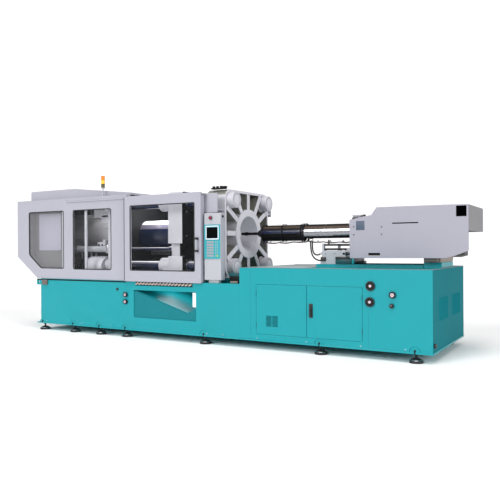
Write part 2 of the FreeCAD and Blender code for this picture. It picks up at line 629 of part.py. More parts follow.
def barrel():
    """Heated barrel with its end cap and the long nozzle."""
    tube = rod_x(COVER_X0 - 20, 2470, 0, AXIS_Z, BARREL_R)
    cap = Part.makeCone(40, 96, 90, V(COVER_X0 - 110, 0, AXIS_Z), X_AXIS)
    nose = rod_x(372, COVER_X0 - 100, 0, AXIS_Z, 23)
    tip = Part.makeCone(12, 23, 14, V(358, 0, AXIS_Z), X_AXIS)
    hexagon = rod_x(440, 480, 0, AXIS_Z, 31)
    bore = rod_x(COVER_X0 + 10, 2475, 0, AXIS_Z, BORE_R)
    inlet = rod_z(THROAT_X, 0, AXIS_Z, AXIS_Z + 100, 36)
    return fuse([tube, cap, nose, tip, hexagon]).cut(bore).cut(inlet)


def barrel_cover():
    tube = rod_x(COVER_X0, COVER_X1, 0, AXIS_Z, COVER_R)
    x, y, z = HARNESS[0]
    gland = box(x - 30, x, y - 14, y + 14, z - 14, z + 37)
    hollow = rod_x(COVER_X0 + 8, COVER_X1 + 5, 0, AXIS_Z, COVER_R - 8)
    mouth = rod_x(COVER_X0 - 5, COVER_X0 + 10, 0, AXIS_Z, BARREL_R + 25)
    return fuse([tube, gland]).cut(hollow).cut(mouth)


def barrel_guard():
    """Half-round sheet shield over the rear of the barrel, with the hose glands below it."""
    tube = rod_x(COVER_X1 + 1, SHIELD_X1, 0, AXIS_Z, COVER_R).cut(
        rod_x(COVER_X1 - 5, SHIELD_X1 + 5, 0, AXIS_Z, COVER_R - 6))
    gap = box(COVER_X1 - 5, SHIELD_X1 + 5, -90, 90, 1500, AXIS_Z - 60)
    gland = [rod_z(x, y, HOSE_TOP, 1672, 13.5) for x, y, _ in (HOSE_UPPER[0], HOSE_LOWER[0])]
    inner = rod_x(COVER_X1 - 5, SHIELD_X1 + 5, 0, AXIS_Z, COVER_R - 6)
    return fuse([tube.cut(gap), *(g.cut(inner) for g in gland)])


HOSE_TOP = 1627
HOSE_R = 11
HOSE_UPPER = [(1708, -104, HOSE_TOP), (1708, -104, 1585), (1710, -107, 1520), (1719, -118, 1455),
              (1752, -148, 1404), (1810, -196, 1381), (1880, -252, 1381), (1934, -308, 1404),
              (BLOCK_X0, -308, 1404)]
HOSE_LOWER = [(1680, -110, HOSE_TOP), (1680, -110, 1585), (1683, -112, 1515), (1693, -118, 1445),
              (1718, -134, 1380), (1766, -172, 1334), (1830, -222, 1310), (1884, -266, 1299),
              (1926, -300, 1298), (BLOCK_X0, -300, 1298)]
HARNESS_R = 9
HARNESS = [(841, -40, 1588), (885, -40, 1588), (955, -48, 1573), (1045, -56, 1563),
           (1140, -58, 1572), (1240, -54, 1584), (1340, -60, 1578), (1440, -64, 1566),
           (1560, -62, 1562), (1680, -56, 1572), (1800, -56, 1582), (1910, -60, 1588),
           (2020, -62, 1582), (2120, -58, 1578), (2212, -60, 1588), (2345, -60, 1588)]


def hose(points, radius):
    return hose_route([V(*p) for p in points], radius)


def screw():
    """Screw with its front flight land; the fine flights are inside the barrel."""
    core = rod_x(COVER_X0 + 60, 2760, 0, AXIS_Z, 26)
    rings = [rod_x(x, x + 14, 0, AXIS_Z, SCREW_R) for x in range(COVER_X0 + 90, 2300, 64)]
    shank = rod_x(2460, 2700, 0, AXIS_Z, 30)
    return fuse([core, *rings, shank])


def injection_drive():
    plate = softened(box(2760, 2840, -340, 340, 1590, 1870), 12)
    coupling = rod_x(2840, 2960, 0, AXIS_Z, 110)
    motor = rod_x(2960, 3300, 0, AXIS_Z, 155)
    rods = both(rod_x(2485, 2760, 250, AXIS_Z, 28))
    return fuse([plate, coupling, motor, *rods])


def injection_cover():
    profile = [(2492, 1338), (2485, 1885), (2732, 1931), (2806, 1943), (2885, 2049), (4109, 2045),
               (4109, 1442), (3923, 1371), (3811, 1342)]
    wall = 8
    outer = rounded(slab(profile, -HOOD_Y, HOOD_Y), 14, Y_AXIS)
    inner = outline(profile).makeOffset2D(-wall)
    inner.translate(V(0, -HOOD_Y + wall, 0))
    inner = inner.extrude(V(0, 2 * (HOOD_Y - wall), 0))
    shell = outer.cut(inner)
    cuts = [box(2520, 4095, -HOOD_Y + 30, HOOD_Y - 30, 1300, 1480),
            box(4085, 4120, -HOOD_Y + wall, HOOD_Y - wall, 1430, 1705),
            box(2470, 2520, -400, 400, 1330, 1860),
            box(3105, 3463, -HOOD_Y - 5, -HOOD_Y + 15, 1812, 1828),
            box(3900, 4120, HOOD_Y - 35, HOOD_Y + 5, 1330, 1705)]
    cuts += both(box(2764, 2933, -HOOD_Y - 5, -HOOD_Y + 15, 1372, 1412))
    cuts += both(rod_x(2470, 2520, CYLINDER_Y, CYLINDER_Z, 24))
    return shell.cut(Part.makeCompound(cuts))


def feed_throat():
    x, z = THROAT_X, THROAT_Z
    body = box(x - 55, x + 55, -55, 55, 1880, z - 22)
    flange = rounded(box(x - 66, x + 66, -66, 66, z - 22, z), 10, Z_AXIS)
    body = fuse([body, flange]).cut(rod_z(x, 0, 1870, z + 5, 40))
    holes = [rod_z(x + dx, dy, z - 25, z + 5, 5.5) for dx in (-50, 50) for dy in (-50, 50)]
    slot = box(x - 47, x + 47, -60, 50, 1919, 1933)
    return body.cut(Part.makeCompound([*holes, slot]))


def throat_shutter():
    plate = box(THROAT_X - 45, THROAT_X + 45, -110, 46, 1920, 1932)
    hole_free = box(THROAT_X - 45, THROAT_X + 45, -130, -110, 1912, 1940)
    return fuse([plate, softened(hole_free, 4)])


# ---- the set of nodes ---------------------------------------------------------------------
def main():
    os.makedirs("parts", exist_ok=True)
    pads, studs = feet()
    bars, nuts = tie_bars()
    nodes = {
        "clamp_base": clamp_base(), "injection_base": injection_base(), "part_chute": part_chute(),
        "foot_pads": pads, "foot_studs": studs,
        "fan_housings": [fan_housing(*at) for at in FANS],
        "fan_rotor_upper": fan_rotor(*FANS[0]), "fan_rotor_lower": fan_rotor(*FANS[1]),
        "gauge_cases": [gauge_case(*at) for at in GAUGES],
        "control_knob": control_knob(), "water_manifold": water_manifold(), "pump_set": pump_set(),
        "cabinet_door_left": cabinet_door(True), "cabinet_door_right": cabinet_door(False),
        "door_latch": door_latch(),
        "stationary_platen": stationary_platen(), "tie_bars": bars, "tie_bar_nuts": nuts,
        "rear_platen": rear_platen(), "main_cylinder": main_cylinder(), "ram": ram(),
        "moving_platen": moving_platen(),
        "traverse_cylinders": [traverse_cylinder(s) for s in (-1, 1)],
        "traverse_rods": [traverse_rod(s) for s in (-1, 1)],
        "safety_bar": safety_bar(), "ejector_rod": ejector_rod(),
        "guard_front_panel": side_panel(), "guard_back_panel": mirrored(side_panel()),
        "guard_end_panel": guard_end_panel(), "guard_roof": guard_roof(),
        "guard_windows": guard_windows(), "gate_rails": gate_rails(),
        "front_gate": gate(-1), "front_gate_window": gate_pane(-1),
        "front_gate_handle": gate_handle(-1),
        "rear_gate": gate(1), "rear_gate_window": gate_pane(1), "rear_gate_handle": gate_handle(1),
        "control_box": control_box(), "control_panel": control_panel(),
        "estop_button": estop_button(), "signal_pole": signal_pole(),
        "signal_lens_green": signal_lens(0), "signal_lens_amber": signal_lens(1),
        "signal_lens_red": signal_lens(2),
        "slide_rails": slide_rails(), "carriage_support": carriage_support(),
        "carriage_cylinders": [carriage_cylinder(s) for s in (-1, 1)],
        "carriage": carriage(), "carriage_rods": carriage_rods(),
        "barrel": barrel(), "barrel_cover": barrel_cover(), "barrel_guard": barrel_guard(),
        "hose_upper": hose(HOSE_UPPER, HOSE_R), "hose_lower": hose(HOSE_LOWER, HOSE_R),
        "heater_harness": hose(HARNESS, HARNESS_R),
        "screw": screw(), "injection_drive": injection_drive(),
        "injection_cover": injection_cover(), "feed_throat": feed_throat(),
        "throat_shutter": throat_shutter(),
    }
    for name, shape in nodes.items():
        save(name, shape)


main()
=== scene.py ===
"""Looks of an injection moulding machine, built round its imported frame.

Lengths are metres in the frame's own axes: +X towards the injection end, -Y towards the
operator, +Z up. Every place comes from the frame's boxes or from the sizes named below.
"""
import json
import math

import bmesh
import bpy
from bpy.props import FloatProperty, FloatVectorProperty, IntProperty, PointerProperty
from mathutils import Matrix, Vector

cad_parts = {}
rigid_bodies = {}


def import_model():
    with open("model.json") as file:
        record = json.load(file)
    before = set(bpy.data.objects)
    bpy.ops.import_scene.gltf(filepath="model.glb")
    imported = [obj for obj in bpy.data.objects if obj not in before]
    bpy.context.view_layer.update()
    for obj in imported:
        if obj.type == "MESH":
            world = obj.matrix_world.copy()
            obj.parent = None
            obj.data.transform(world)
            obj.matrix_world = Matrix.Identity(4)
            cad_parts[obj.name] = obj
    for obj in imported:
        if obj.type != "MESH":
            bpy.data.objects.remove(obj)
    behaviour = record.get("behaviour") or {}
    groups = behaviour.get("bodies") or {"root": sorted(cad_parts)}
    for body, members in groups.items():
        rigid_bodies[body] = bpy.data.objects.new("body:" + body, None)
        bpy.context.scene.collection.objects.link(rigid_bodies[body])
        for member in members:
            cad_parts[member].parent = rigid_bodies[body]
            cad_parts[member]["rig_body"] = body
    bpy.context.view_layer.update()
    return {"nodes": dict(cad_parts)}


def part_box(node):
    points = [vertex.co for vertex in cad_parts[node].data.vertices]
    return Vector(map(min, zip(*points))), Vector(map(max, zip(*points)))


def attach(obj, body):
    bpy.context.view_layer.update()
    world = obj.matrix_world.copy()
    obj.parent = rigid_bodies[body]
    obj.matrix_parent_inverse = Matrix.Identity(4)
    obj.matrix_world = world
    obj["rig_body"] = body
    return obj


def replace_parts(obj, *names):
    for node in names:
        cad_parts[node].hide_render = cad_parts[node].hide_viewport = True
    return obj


bl_info = {
    "name": "Injection Moulding Machine",
    "version": (1, 0, 0),
    "blender": (4, 5, 0),
    "location": "View3D > Sidebar > Moulding",
    "description": "Finishes, trim and stage of a horizontal injection moulding machine",
    "category": "Object",
}

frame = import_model()
NODES = frame["nodes"]

X, Y, Z = Vector((1, 0, 0)), Vector((0, 1, 0)), Vector((0, 0, 1))

CLAMP_LO, CLAMP_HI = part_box("clamp_base")
INJ_LO, INJ_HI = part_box("injection_base")
MOVING_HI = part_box("moving_platen")[1]
GUARD_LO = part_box("guard_front_panel")[0]
PANEL_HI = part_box("control_panel")[1]
BOX_LO, BOX_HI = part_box("control_box")
COVER_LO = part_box("injection_cover")[0]
BARREL_LO, BARREL_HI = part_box("barrel_cover")
SHIELD_LO, SHIELD_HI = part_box("barrel_guard")
AXIS_Z = 1.73          # height of the axis that clamp, barrel and screw share
BAR_OFFSET = 0.53      # each tie bar from that axis, across and up
ROOF_INSIDE = 2.385     # underside of the roof


# ---- colours and nodes --------------------------------------------------------------------
def linear(hex_colour):
    """An sRGB hex colour as linear RGBA."""
    parts = [int(hex_colour[i:i + 2], 16) / 255 for i in (0, 2, 4)]
    return (*[c / 12.92 if c <= 0.04045 else ((c + 0.055) / 1.055) ** 2.4 for c in parts], 1.0)


def add(tree, kind, settings=None, links=None):
    """Adds a node, sets its properties, and sets or links its inputs by name or number."""
    node = tree.nodes.new(kind)
    for name, value in (settings or {}).items():
        setattr(node, name, value)
    for name, value in (links or {}).items():
        if isinstance(value, bpy.types.NodeSocket):
            tree.links.new(value, node.inputs[name])
        else:
            node.inputs[name].default_value = value
    return node


def shader(name, colour, patch=0.04, patch_size=0.4, grain=0.003, depth=0.00004, stretch=(1, 1, 1),
           edge=0.0, **sockets):
    """A principled surface whose colour drifts in soft patches and whose grain is bumped.

    patch is how far the colour drifts, patch_size and grain are in metres, depth is the height
    of the grain, stretch pulls the grain along an axis and edge rounds the corners' highlight.
    """
    material = bpy.data.materials.new(name)
    material.use_nodes = True
    tree = material.node_tree
    surface = tree.nodes["Principled BSDF"]
    base = linear(colour)
    darker = [c * (1 - patch) for c in base[:3]] + [1]
    lighter = [min(1, c * (1 + patch)) for c in base[:3]] + [1]
    where = add(tree, "ShaderNodeTexCoord").outputs["Object"]
    cloud = add(tree, "ShaderNodeTexNoise", None,
                {"Vector": where, "Scale": 1 / patch_size, "Detail": 4.0, "Roughness": 0.6})
    mix = add(tree, "ShaderNodeMix", {"data_type": "RGBA"},
              {0: cloud.outputs[0], 6: darker, 7: lighter})
    tree.links.new(mix.outputs[2], surface.inputs["Base Color"])
    pulled = add(tree, "ShaderNodeMapping", None, {"Vector": where, "Scale": stretch})
    fine = add(tree, "ShaderNodeTexNoise", None,
               {"Vector": pulled.outputs[0], "Scale": 1 / grain, "Detail": 2.0})
    settings = {"Height": fine.outputs[0], "Strength": 1.0, "Distance": depth}
    if edge:
        settings["Normal"] = add(tree, "ShaderNodeBevel", {"samples": 4}, {"Radius": edge}).outputs[0]
    bump = add(tree, "ShaderNodeBump", None, settings)
    tree.links.new(bump.outputs[0], surface.inputs["Normal"])
    for socket, value in sockets.items():
        surface.inputs[socket.replace("_", " ").replace("  ", " ")].default_value = value
    return material


def enamel(name, colour, rough=0.32, ior=1.38):
    """Sprayed two-pack enamel on sheet steel: even colour, a soft gloss and faint orange peel."""
    return shader(name, colour, patch=0.035, patch_size=0.5, grain=0.006, depth=0.00003,
                  edge=0.004, Roughness=rough, IOR=ior)


def casting(name, colour):
    """Thick paint over filled cast iron: matt, with the slow waves of the casting under it."""
    return shader(name, colour, patch=0.07, patch_size=0.18, grain=0.035, depth=0.0009,
                  edge=0.01, Roughness=0.42, IOR=1.5)


def ground_chrome():
    """Hard chrome ground and polished round the bar: a mirror with hair-fine rings."""
    return shader("ground_chrome", "9498A2", patch=0.03, patch_size=0.3, grain=0.002,
                  depth=0.000006, stretch=(1, 0.05, 0.05), Metallic=1.0, Roughness=0.12)


def turned_steel():
    """Turned and milled steel: soft highlight with tool marks."""
    return shader("turned_steel", "B9B9BC", patch=0.06, patch_size=0.1, grain=0.0016,
                  depth=0.00001, stretch=(1, 0.2, 1), Metallic=1.0, Roughness=0.28)


def blackened_steel():
    """Oil-blackened steel: nearly black, with a greasy sheen."""
    return shader("blackened_steel", "26262A", patch=0.2, patch_size=0.08, grain=0.002,
                  depth=0.00002, Metallic=0.85, Roughness=0.36)


def rolled_aluminium():
    """Rolled aluminium sheet: bright, with long streaks along the barrel."""
    return shader("rolled_aluminium", "96989E", patch=0.06, patch_size=0.06, grain=0.004,
                  depth=0.00002, stretch=(0.05, 1, 1), Metallic=1.0, Roughness=0.2)


def heatproof_black():
    """Heat-proof silicone paint: flat black, a little dusty; the same black stands as painted shade on
    the platens' mould faces and on sheets inside the rear guard and gate.
    """
    return shader("heatproof_black", "121214", patch=0.25, patch_size=0.05, grain=0.003,
                  depth=0.00004, Roughness=0.5, IOR=1.25)


def nitrile_rubber():
    """Moulded nitrile rubber: black with a waxy bloom."""
    return shader("nitrile_rubber", "151517", patch=0.3, patch_size=0.03, grain=0.0012,
                  depth=0.00003, Roughness=0.6, IOR=1.52)


def moulded_black():
    """Black ABS with a fine spark-eroded texture."""
    return shader("moulded_black", "18181B", patch=0.15, patch_size=0.05, grain=0.0015,
                  depth=0.00004, Roughness=0.42, IOR=1.53)


def sheet_acrylic(name, colour, alpha, rough=0.04):
    """Clear acrylic sheet: mostly see-through, with a hard reflection."""
    return shader(name, colour, patch=0.02, patch_size=0.6, grain=0.02, depth=0.00001,
                  Roughness=rough, IOR=1.49, Alpha=alpha)


def lens_plastic(name, colour, glow):
    """Ribbed polycarbonate lens with a pale lamp tube behind it."""
    return shader(name, colour, patch=0.12, patch_size=0.02, grain=0.006, depth=0.0003,
                  stretch=(1, 1, 0.05), Roughness=0.18, IOR=1.58,
                  Emission_Color=linear(colour), Emission_Strength=glow)


def film(name, colour, rough=0.35):
    """Printed polyester film on a keypad: smooth and slightly soft."""
    return shader(name, colour, patch=0.03, patch_size=0.05, grain=0.0015, depth=0.00001,
                  Roughness=rough, IOR=1.55)


def bright_zinc():
    """Zinc-plated screws and clips: bright, a little blue."""
    return shader("bright_zinc", "C9CCD2", patch=0.1, patch_size=0.01, grain=0.001,
                  depth=0.00001, Metallic=1.0, Roughness=0.3)


# each finish: the slot of the pieces that wear it, its maker and what the maker takes;
# "=name" is the colour that the user set for it
FINISHES = {
    "teal": ("teal_paint", enamel, "teal_enamel", "=teal"),
    "teal_inside": ("teal_paint", enamel, "teal_enamel_inside", "1F6B74", 0.45),
    "grey": ("grey_paint", enamel, "grey_enamel", "=grey"),
    "white": ("grey_paint", enamel, "white_enamel", "AEB0B6"),
    "cover": ("grey_paint", enamel, "cover_enamel", "9F9DA9"),
    "deck": ("grey_paint", enamel, "deck_sheet", "A9B4B8"),
    # painted shadow: the lip is darker than the deck sheets along the deck's edge
    "lip": ("grey_paint", enamel, "deck_lip_enamel", "6F7C80", 0.4),
    "lilac": ("grey_paint", enamel, "lilac_lining", "ABA9B8", 0.4),
    "tan": ("grey_paint", enamel, "primed_block", "8A8078", 0.45),
    # painted shade: a darker teal for the base's end face and the louvres
    "teal_painted_shade": ("teal_paint", enamel, "teal_enamel_end", "16757E", 0.6, 1.1),
    "teal_slide": ("teal_paint", enamel, "teal_enamel_slide", "227880", 0.6, 1.1),
    "liner_grey": ("grey_paint", enamel, "grey_liner", "696A66", 0.5, 1.2),
    # painted light: a lighter casting colour for the stationary platen's +X faces, the rib caps and the
    # bar ends
    "casting_lit_face": ("white_casting", casting, "casting_light", "D6D4DC"),
    # painted shade: a darker casting colour for the main cylinder
    "cylinder_casting_shade": ("white_casting", casting, "casting_dusty", "929194"),
    # painted light and reflections: a white highlight, also the white seen through the chute's slot,
    # then a violet and a navy band
    "glint": ("grey_paint", film, "chrome_glint", "F4F4F8", 0.15),
    "painted_reflection_mid": (None, film, "chrome_violet", "6A6676", 0.15),
    "chrome_navy": (None, film, "chrome_navy", "1A2440", 0.12),
    "nipple": ("brass", film, "nickel_nipple", "DCC4BA", 0.3),
    "key_teal": ("panel_film", film, "key_film_teal", "6FA2A8"),
    "dark_teal": ("teal_paint", enamel, "dark_teal_enamel", "0F4A50", 0.4),
    "casting": ("white_casting", casting, "casting_paint", "=casting"),
    "pocket": (None, casting, "casting_shade", "85857E"),
    # near-black: oiled steel on the clamp deck, darkened as painted shade there and under the roof
    "deck_black_and_shade": ("dark_steel", enamel, "oiled_deck", "17181A", 0.35),
    "chrome": ("hard_chrome", ground_chrome),
    "steel": ("bright_steel", turned_steel),
    "black_steel": ("dark_steel", blackened_steel),
    "aluminium": ("bright_sheet", rolled_aluminium),
    # flat black: heat-proof paint on the barrel cover and valves, painted shade on the platens' mould
    # faces and the sheets inside the rear guard and gate
    "black_paint_and_shade": ("black_cover", heatproof_black),
    "rubber": ("black_rubber", nitrile_rubber),
    "black": ("black_plastic", moulded_black),
    "zinc": ("bright_steel", bright_zinc),
    "guard_pane": ("clear_pane", sheet_acrylic, "guard_pane", "B9BCC2", 0.02, 0.06),
    "hazed_pane": (None, sheet_acrylic, "hazed_pane", "C4C3CE", 0.12, 0.2),
    "gate_pane": ("clear_pane", sheet_acrylic, "gate_pane", "AAB0B4", 0.012),
    "smoked_pane": ("smoked_pane", sheet_acrylic, "smoked_pane", "0C0C0E", 0.93, 0.2),
    "red_lens": ("red_lens", lens_plastic, "red_lens", "E5842A", 0.25),
    "amber_lens": ("amber_lens", lens_plastic, "amber_lens", "F2B93B", 0.35),
    "green_lens": ("green_lens", lens_plastic, "green_lens", "5C5634", 0.05),
    "panel": ("panel_film", film, "panel_film", "1F9AA6"),
    "bezel": ("panel_film", film, "bezel_film", "DDE0E6"),
    "key": ("panel_film", film, "key_film", "A0969C"),
    "start_key": ("panel_film", film, "start_key_film", "A8C23C"),
    "screen": ("black_plastic", enamel, "screen_glass", "060708", 0.6, 1.1),
    "red": ("red_plastic", film, "stop_red", "7A1230", 0.25),
    "dial": ("black_plastic", film, "dial_card", "C4B2B9", 0.4),
    # near-black: painted shade inside holes and slots, and the cover's badge plate
    "void": ("black_cover", enamel, "dark_inside", "020203", 0.9, 1.05),
    "plate": ("grey_paint", enamel, "blue_grey_plate", "4E5A6C", 0.5),
    # painted shade: a darker grey for the end face of the injection cover
    "cover_end": (None, enamel, "cover_end_enamel", "868488"),
    # painted reflection: a bronze band on the barrel cover and shield
    "bronze": (None, film, "tempered_bronze", "4A3A2E", 0.3),
    "box_side": (None, enamel, "box_side_enamel", "AEB0BA"),
    "joint": ("grey_paint", enamel, "seam_shade", "8B8A96", 0.5),
    "loom": (None, film, "braided_loom", "5E4444", 0.6),
    "oiled": ("grey_paint", enamel, "oiled_grey", "67605C", 0.4),
}
MATERIALS = {}


def hex_of(colour):
    """A property's colour, held as sRGB parts from 0 to 1, as hex."""
    return "".join(f"{round(c * 255):02X}" for c in colour)


def material(key):
    """Makes each finish once, when a piece first asks for it."""
    if key not in MATERIALS:
        _, maker, *settings = FINISHES[key]
        colours = bpy.context.scene.moulding_colours
        MATERIALS[key] = maker(*(hex_of(getattr(colours, value[1:])) if str(value)[0] == "=" else value
                                 for value in settings))
    return MATERIALS[key]


# ---- shapes -------------------------------------------------------------------------------
def towards(axis):
    """The turn that takes +Z to an axis."""
    return Vector(axis).to_track_quat("Z", "Y").to_matrix().to_4x4()


def block(bm, lo, hi, edge=0.0, steps=2):
    """A block between two corners with rounded edges."""
    lo, hi = Vector(lo), Vector(hi)
    matrix = Matrix.Translation((lo + hi) / 2) @ Matrix.Diagonal((*(hi - lo), 1))
    verts = bmesh.ops.create_cube(bm, size=1, matrix=matrix)["verts"]
    if edge:
        bevel(bm, {e for v in verts for e in v.link_edges}, edge, steps)


def bevel(bm, edges, size, steps=2):
    bmesh.ops.bevel(bm, geom=list(edges), offset=size, offset_type="OFFSET", segments=steps,
                    profile=0.5, affect="EDGES", material=-1)


def post(bm, foot, axis, length, radius, edge=0.0, sides=32, tip=None):
    """A round bar or disc from its foot along an axis, with rounded rims."""
    axis = Vector(axis).normalized()
    matrix = Matrix.Translation(Vector(foot) + axis * length / 2) @ towards(axis)
    made = bmesh.ops.create_cone(bm, cap_ends=True, segments=sides, radius1=radius,
                                 radius2=radius if tip is None else tip, depth=length,
                                 matrix=matrix)
    if edge:
        rims = {e for v in made["verts"] for e in v.link_edges
                if any(len(f.verts) == sides for f in e.link_faces)}
        bevel(bm, rims, edge)


def lathe(bm, foot, axis, profile, sides=32):
    """Turns a chain of (radius, height) points about an axis through foot."""
    matrix = Matrix.Translation(Vector(foot)) @ towards(axis)
    verts = [bm.verts.new(matrix @ Vector((r, 0, h))) for r, h in profile]
    edges = [bm.edges.new(pair) for pair in zip(verts, verts[1:])]
    centre, around = matrix @ Vector((0, 0, 0)), matrix.to_3x3() @ Z
    bmesh.ops.spin(bm, geom=verts + edges, cent=centre, axis=around, angle=math.tau,
                   steps=sides, use_merge=True)


def sheet_face(bm, points, corner=0.0, steps=4):
    """A flat face through points, with rounded corners."""
    face = bm.faces.new([bm.verts.new(p) for p in points])
    if corner:
        made = bmesh.ops.bevel(bm, geom=list(face.verts), offset=corner, offset_type="OFFSET",
                               segments=steps, profile=0.5, affect="VERTICES", material=-1)
        around = {f for v in made["verts"] if v.is_valid for f in v.link_faces}
        face = max(around, key=lambda f: f.calc_area())
    return face


def pulled(bm, faces, way):
    """Extrudes faces by a vector and keeps both ends."""
    made = bmesh.ops.extrude_face_region(bm, geom=faces, use_keep_orig=True)
    verts = [g for g in made["geom"] if isinstance(g, bmesh.types.BMVert)]
    bmesh.ops.translate(bm, verts=verts, vec=Vector(way))


def plate(bm, points, way, corner=0.0):
    """A sheet with the outline of points, as thick as the vector way."""
    pulled(bm, [sheet_face(bm, points, corner)], way)


def border(bm, points, width, way, corner=0.0):
    """A frame of constant width inside an outline, as thick as the vector way."""
    face = sheet_face(bm, points, corner)
    inside = bmesh.ops.inset_region(bm, faces=[face], thickness=width, use_boundary=True,
                                    use_even_offset=True)
    bmesh.ops.delete(bm, geom=[face], context="FACES_ONLY")
    pulled(bm, inside["faces"], way)


def bolt(bm, at, axis, size):
    """A hexagon socket screw head: a short drum with a hexagonal recess."""
    axis = Vector(axis).normalized()
    matrix = Matrix.Translation(Vector(at) + axis * size * 0.35) @ towards(axis)
    made = bmesh.ops.create_cone(bm, cap_ends=True, segments=12, radius1=size, radius2=size,
                                 depth=size * 0.7, matrix=matrix)
    top = max({f for v in made["verts"] for f in v.link_faces},
              key=lambda f: f.calc_center_median().dot(axis) + (f.calc_area() > size * size))
    bmesh.ops.inset_individual(bm, faces=[top], thickness=size * 0.45)
    bmesh.ops.translate(bm, verts=top.verts, vec=-axis * size * 0.4)


def bolts(bm, xs, ys, zs, axis, size):
    """Screw heads at every crossing of three rows of places; a row may be one number."""
    xs, ys, zs = (row if isinstance(row, tuple) else (row,) for row in (xs, ys, zs))
    for x in xs:
        for y in ys:
            for z in zs:
                bolt(bm, (x, y, z), axis, size)


def mirrored(bm):
    """Adds the shape's mirror image on the far side of the machine."""
    geom = bm.verts[:] + bm.edges[:] + bm.faces[:]
    copy = bmesh.ops.duplicate(bm, geom=geom)["geom"]
    verts = [g for g in copy if isinstance(g, bmesh.types.BMVert)]
    bmesh.ops.scale(bm, vec=(1, -1, 1), verts=verts)
    faces = [g for g in copy if isinstance(g, bmesh.types.BMFace)]
    bmesh.ops.reverse_faces(bm, faces=faces)


def placed(name, data):
    """An object in the scene that shows a mesh, curve, lamp or camera."""
    made = bpy.data.objects.new(name, data)
    bpy.context.scene.collection.objects.link(made)
    return made


def meshed(name, bm, sharp):
    """Turns a bmesh into an object, smooth but for edges sharper than an angle in degrees."""
    mesh = bpy.data.meshes.new(name)
    bm.to_mesh(mesh)
    bm.free()
    mesh.shade_smooth()
    mesh.set_sharp_from_angle(angle=math.radians(sharp))
    return placed(name, mesh)


def piece(name, bm, finish, body="base"):
    """Turns a bmesh into a piece that rides on a body."""
    bmesh.ops.remove_doubles(bm, verts=bm.verts, dist=1e-6)
    bmesh.ops.recalc_face_normals(bm, faces=bm.faces)
    made = meshed(name, bm, 30)
    made.data.materials.append(material(finish))
    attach(made, body)
    return made


def blocks(name, finish, *corners, body="base", slot=None):
    """A piece made of blocks, each given by two corners and the rounding of its edges."""
    bm = bmesh.new()
    for spec in corners:
        block(bm, *spec)
    return piece(name, bm, finish, body)


def recast(name, finish, edge=0.0, steps=2, faces=()):
    """Shows a CAD node as a welded copy with rounded edges, in place of its loose triangles.

    faces holds pairs of a finish and a test on a face's centre and normal.
    """
    source = NODES[name]
    bm = bmesh.new()
    bm.from_mesh(source.data)
    bmesh.ops.remove_doubles(bm, verts=bm.verts, dist=2e-5)
    bmesh.ops.dissolve_limit(bm, angle_limit=math.radians(0.6), verts=bm.verts, edges=bm.edges)
    for index, (_, belongs) in enumerate(faces, 1):
        for face in bm.faces:
            if belongs(face.calc_center_median(), face.normal):
                face.material_index = index
    made = meshed(name + "_skin", bm, 32)
    for key in (finish, *(other for other, _ in faces)):
        made.data.materials.append(material(key))
    if edge:
        rounding = made.modifiers.new("rounded_edges", "BEVEL")
        rounding.width, rounding.segments = edge, steps
        rounding.limit_method, rounding.angle_limit = "ANGLE", math.radians(40)
        rounding.harden_normals = True
        rounding.use_clamp_overlap = True
    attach(made, source["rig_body"])
    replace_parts(made, name)


# ---- stage --------------------------------------------------------------------------------
class MouldingSizes(bpy.types.PropertyGroup):
    """Sizes of the trim that a user would change."""
    gasket: FloatProperty(name="Gasket width", description="Width of the window gaskets",
                          default=0.016, unit="LENGTH")
    rounding: FloatProperty(name="Edge rounding", description="Rounding of sheet-metal edges",
                            default=0.005, unit="LENGTH")
    nipples: IntProperty(name="Water nipples", description="Nipples on the water manifold",
                         default=17, min=1)
    key_rows: IntProperty(name="Key rows", description="Rows of keys on the keypad", default=6,
                          min=1)
    lens: FloatProperty(name="Camera lens", description="Focal length for a 36 mm sensor, in mm",
                        default=43.18)


class MouldingColours(bpy.types.PropertyGroup):
    """Paint colours, as sRGB."""
    teal: FloatVectorProperty(name="Base enamel", description="Colour of the base and chute",
                              default=(0.05, 0.578, 0.612), size=3, subtype="COLOR_GAMMA")
    grey: FloatVectorProperty(name="Guard enamel", description="Colour of guards and covers",
                              default=(0.655, 0.655, 0.7), size=3, subtype="COLOR_GAMMA")
    casting: FloatVectorProperty(name="Casting paint", description="Colour of the platens",
                                 default=(0.75, 0.745, 0.775), size=3, subtype="COLOR_GAMMA")


def sizes():
    return bpy.context.scene.moulding_sizes


def soft_sun(name, towards_light, strength, spread):
    """A broad sun that stands for a bank of studio soft boxes."""
    lamp = bpy.data.lights.new(name, "SUN")
    lamp.energy, lamp.angle = strength, math.radians(spread)
    made = placed(name, lamp)
    made.rotation_mode = "QUATERNION"
    made.rotation_quaternion = (-Vector(towards_light)).to_track_quat("-Z", "Y")


def soft_strip(name, at, size, power):
    """A strip light under the roof that brightens what the windows show."""
    lamp = bpy.data.lights.new(name, "AREA")
    lamp.shape, lamp.size, lamp.size_y, lamp.energy = "RECTANGLE", size[0], size[1], power
    made = placed(name, lamp)
    made.location, made.visible_camera = at, False


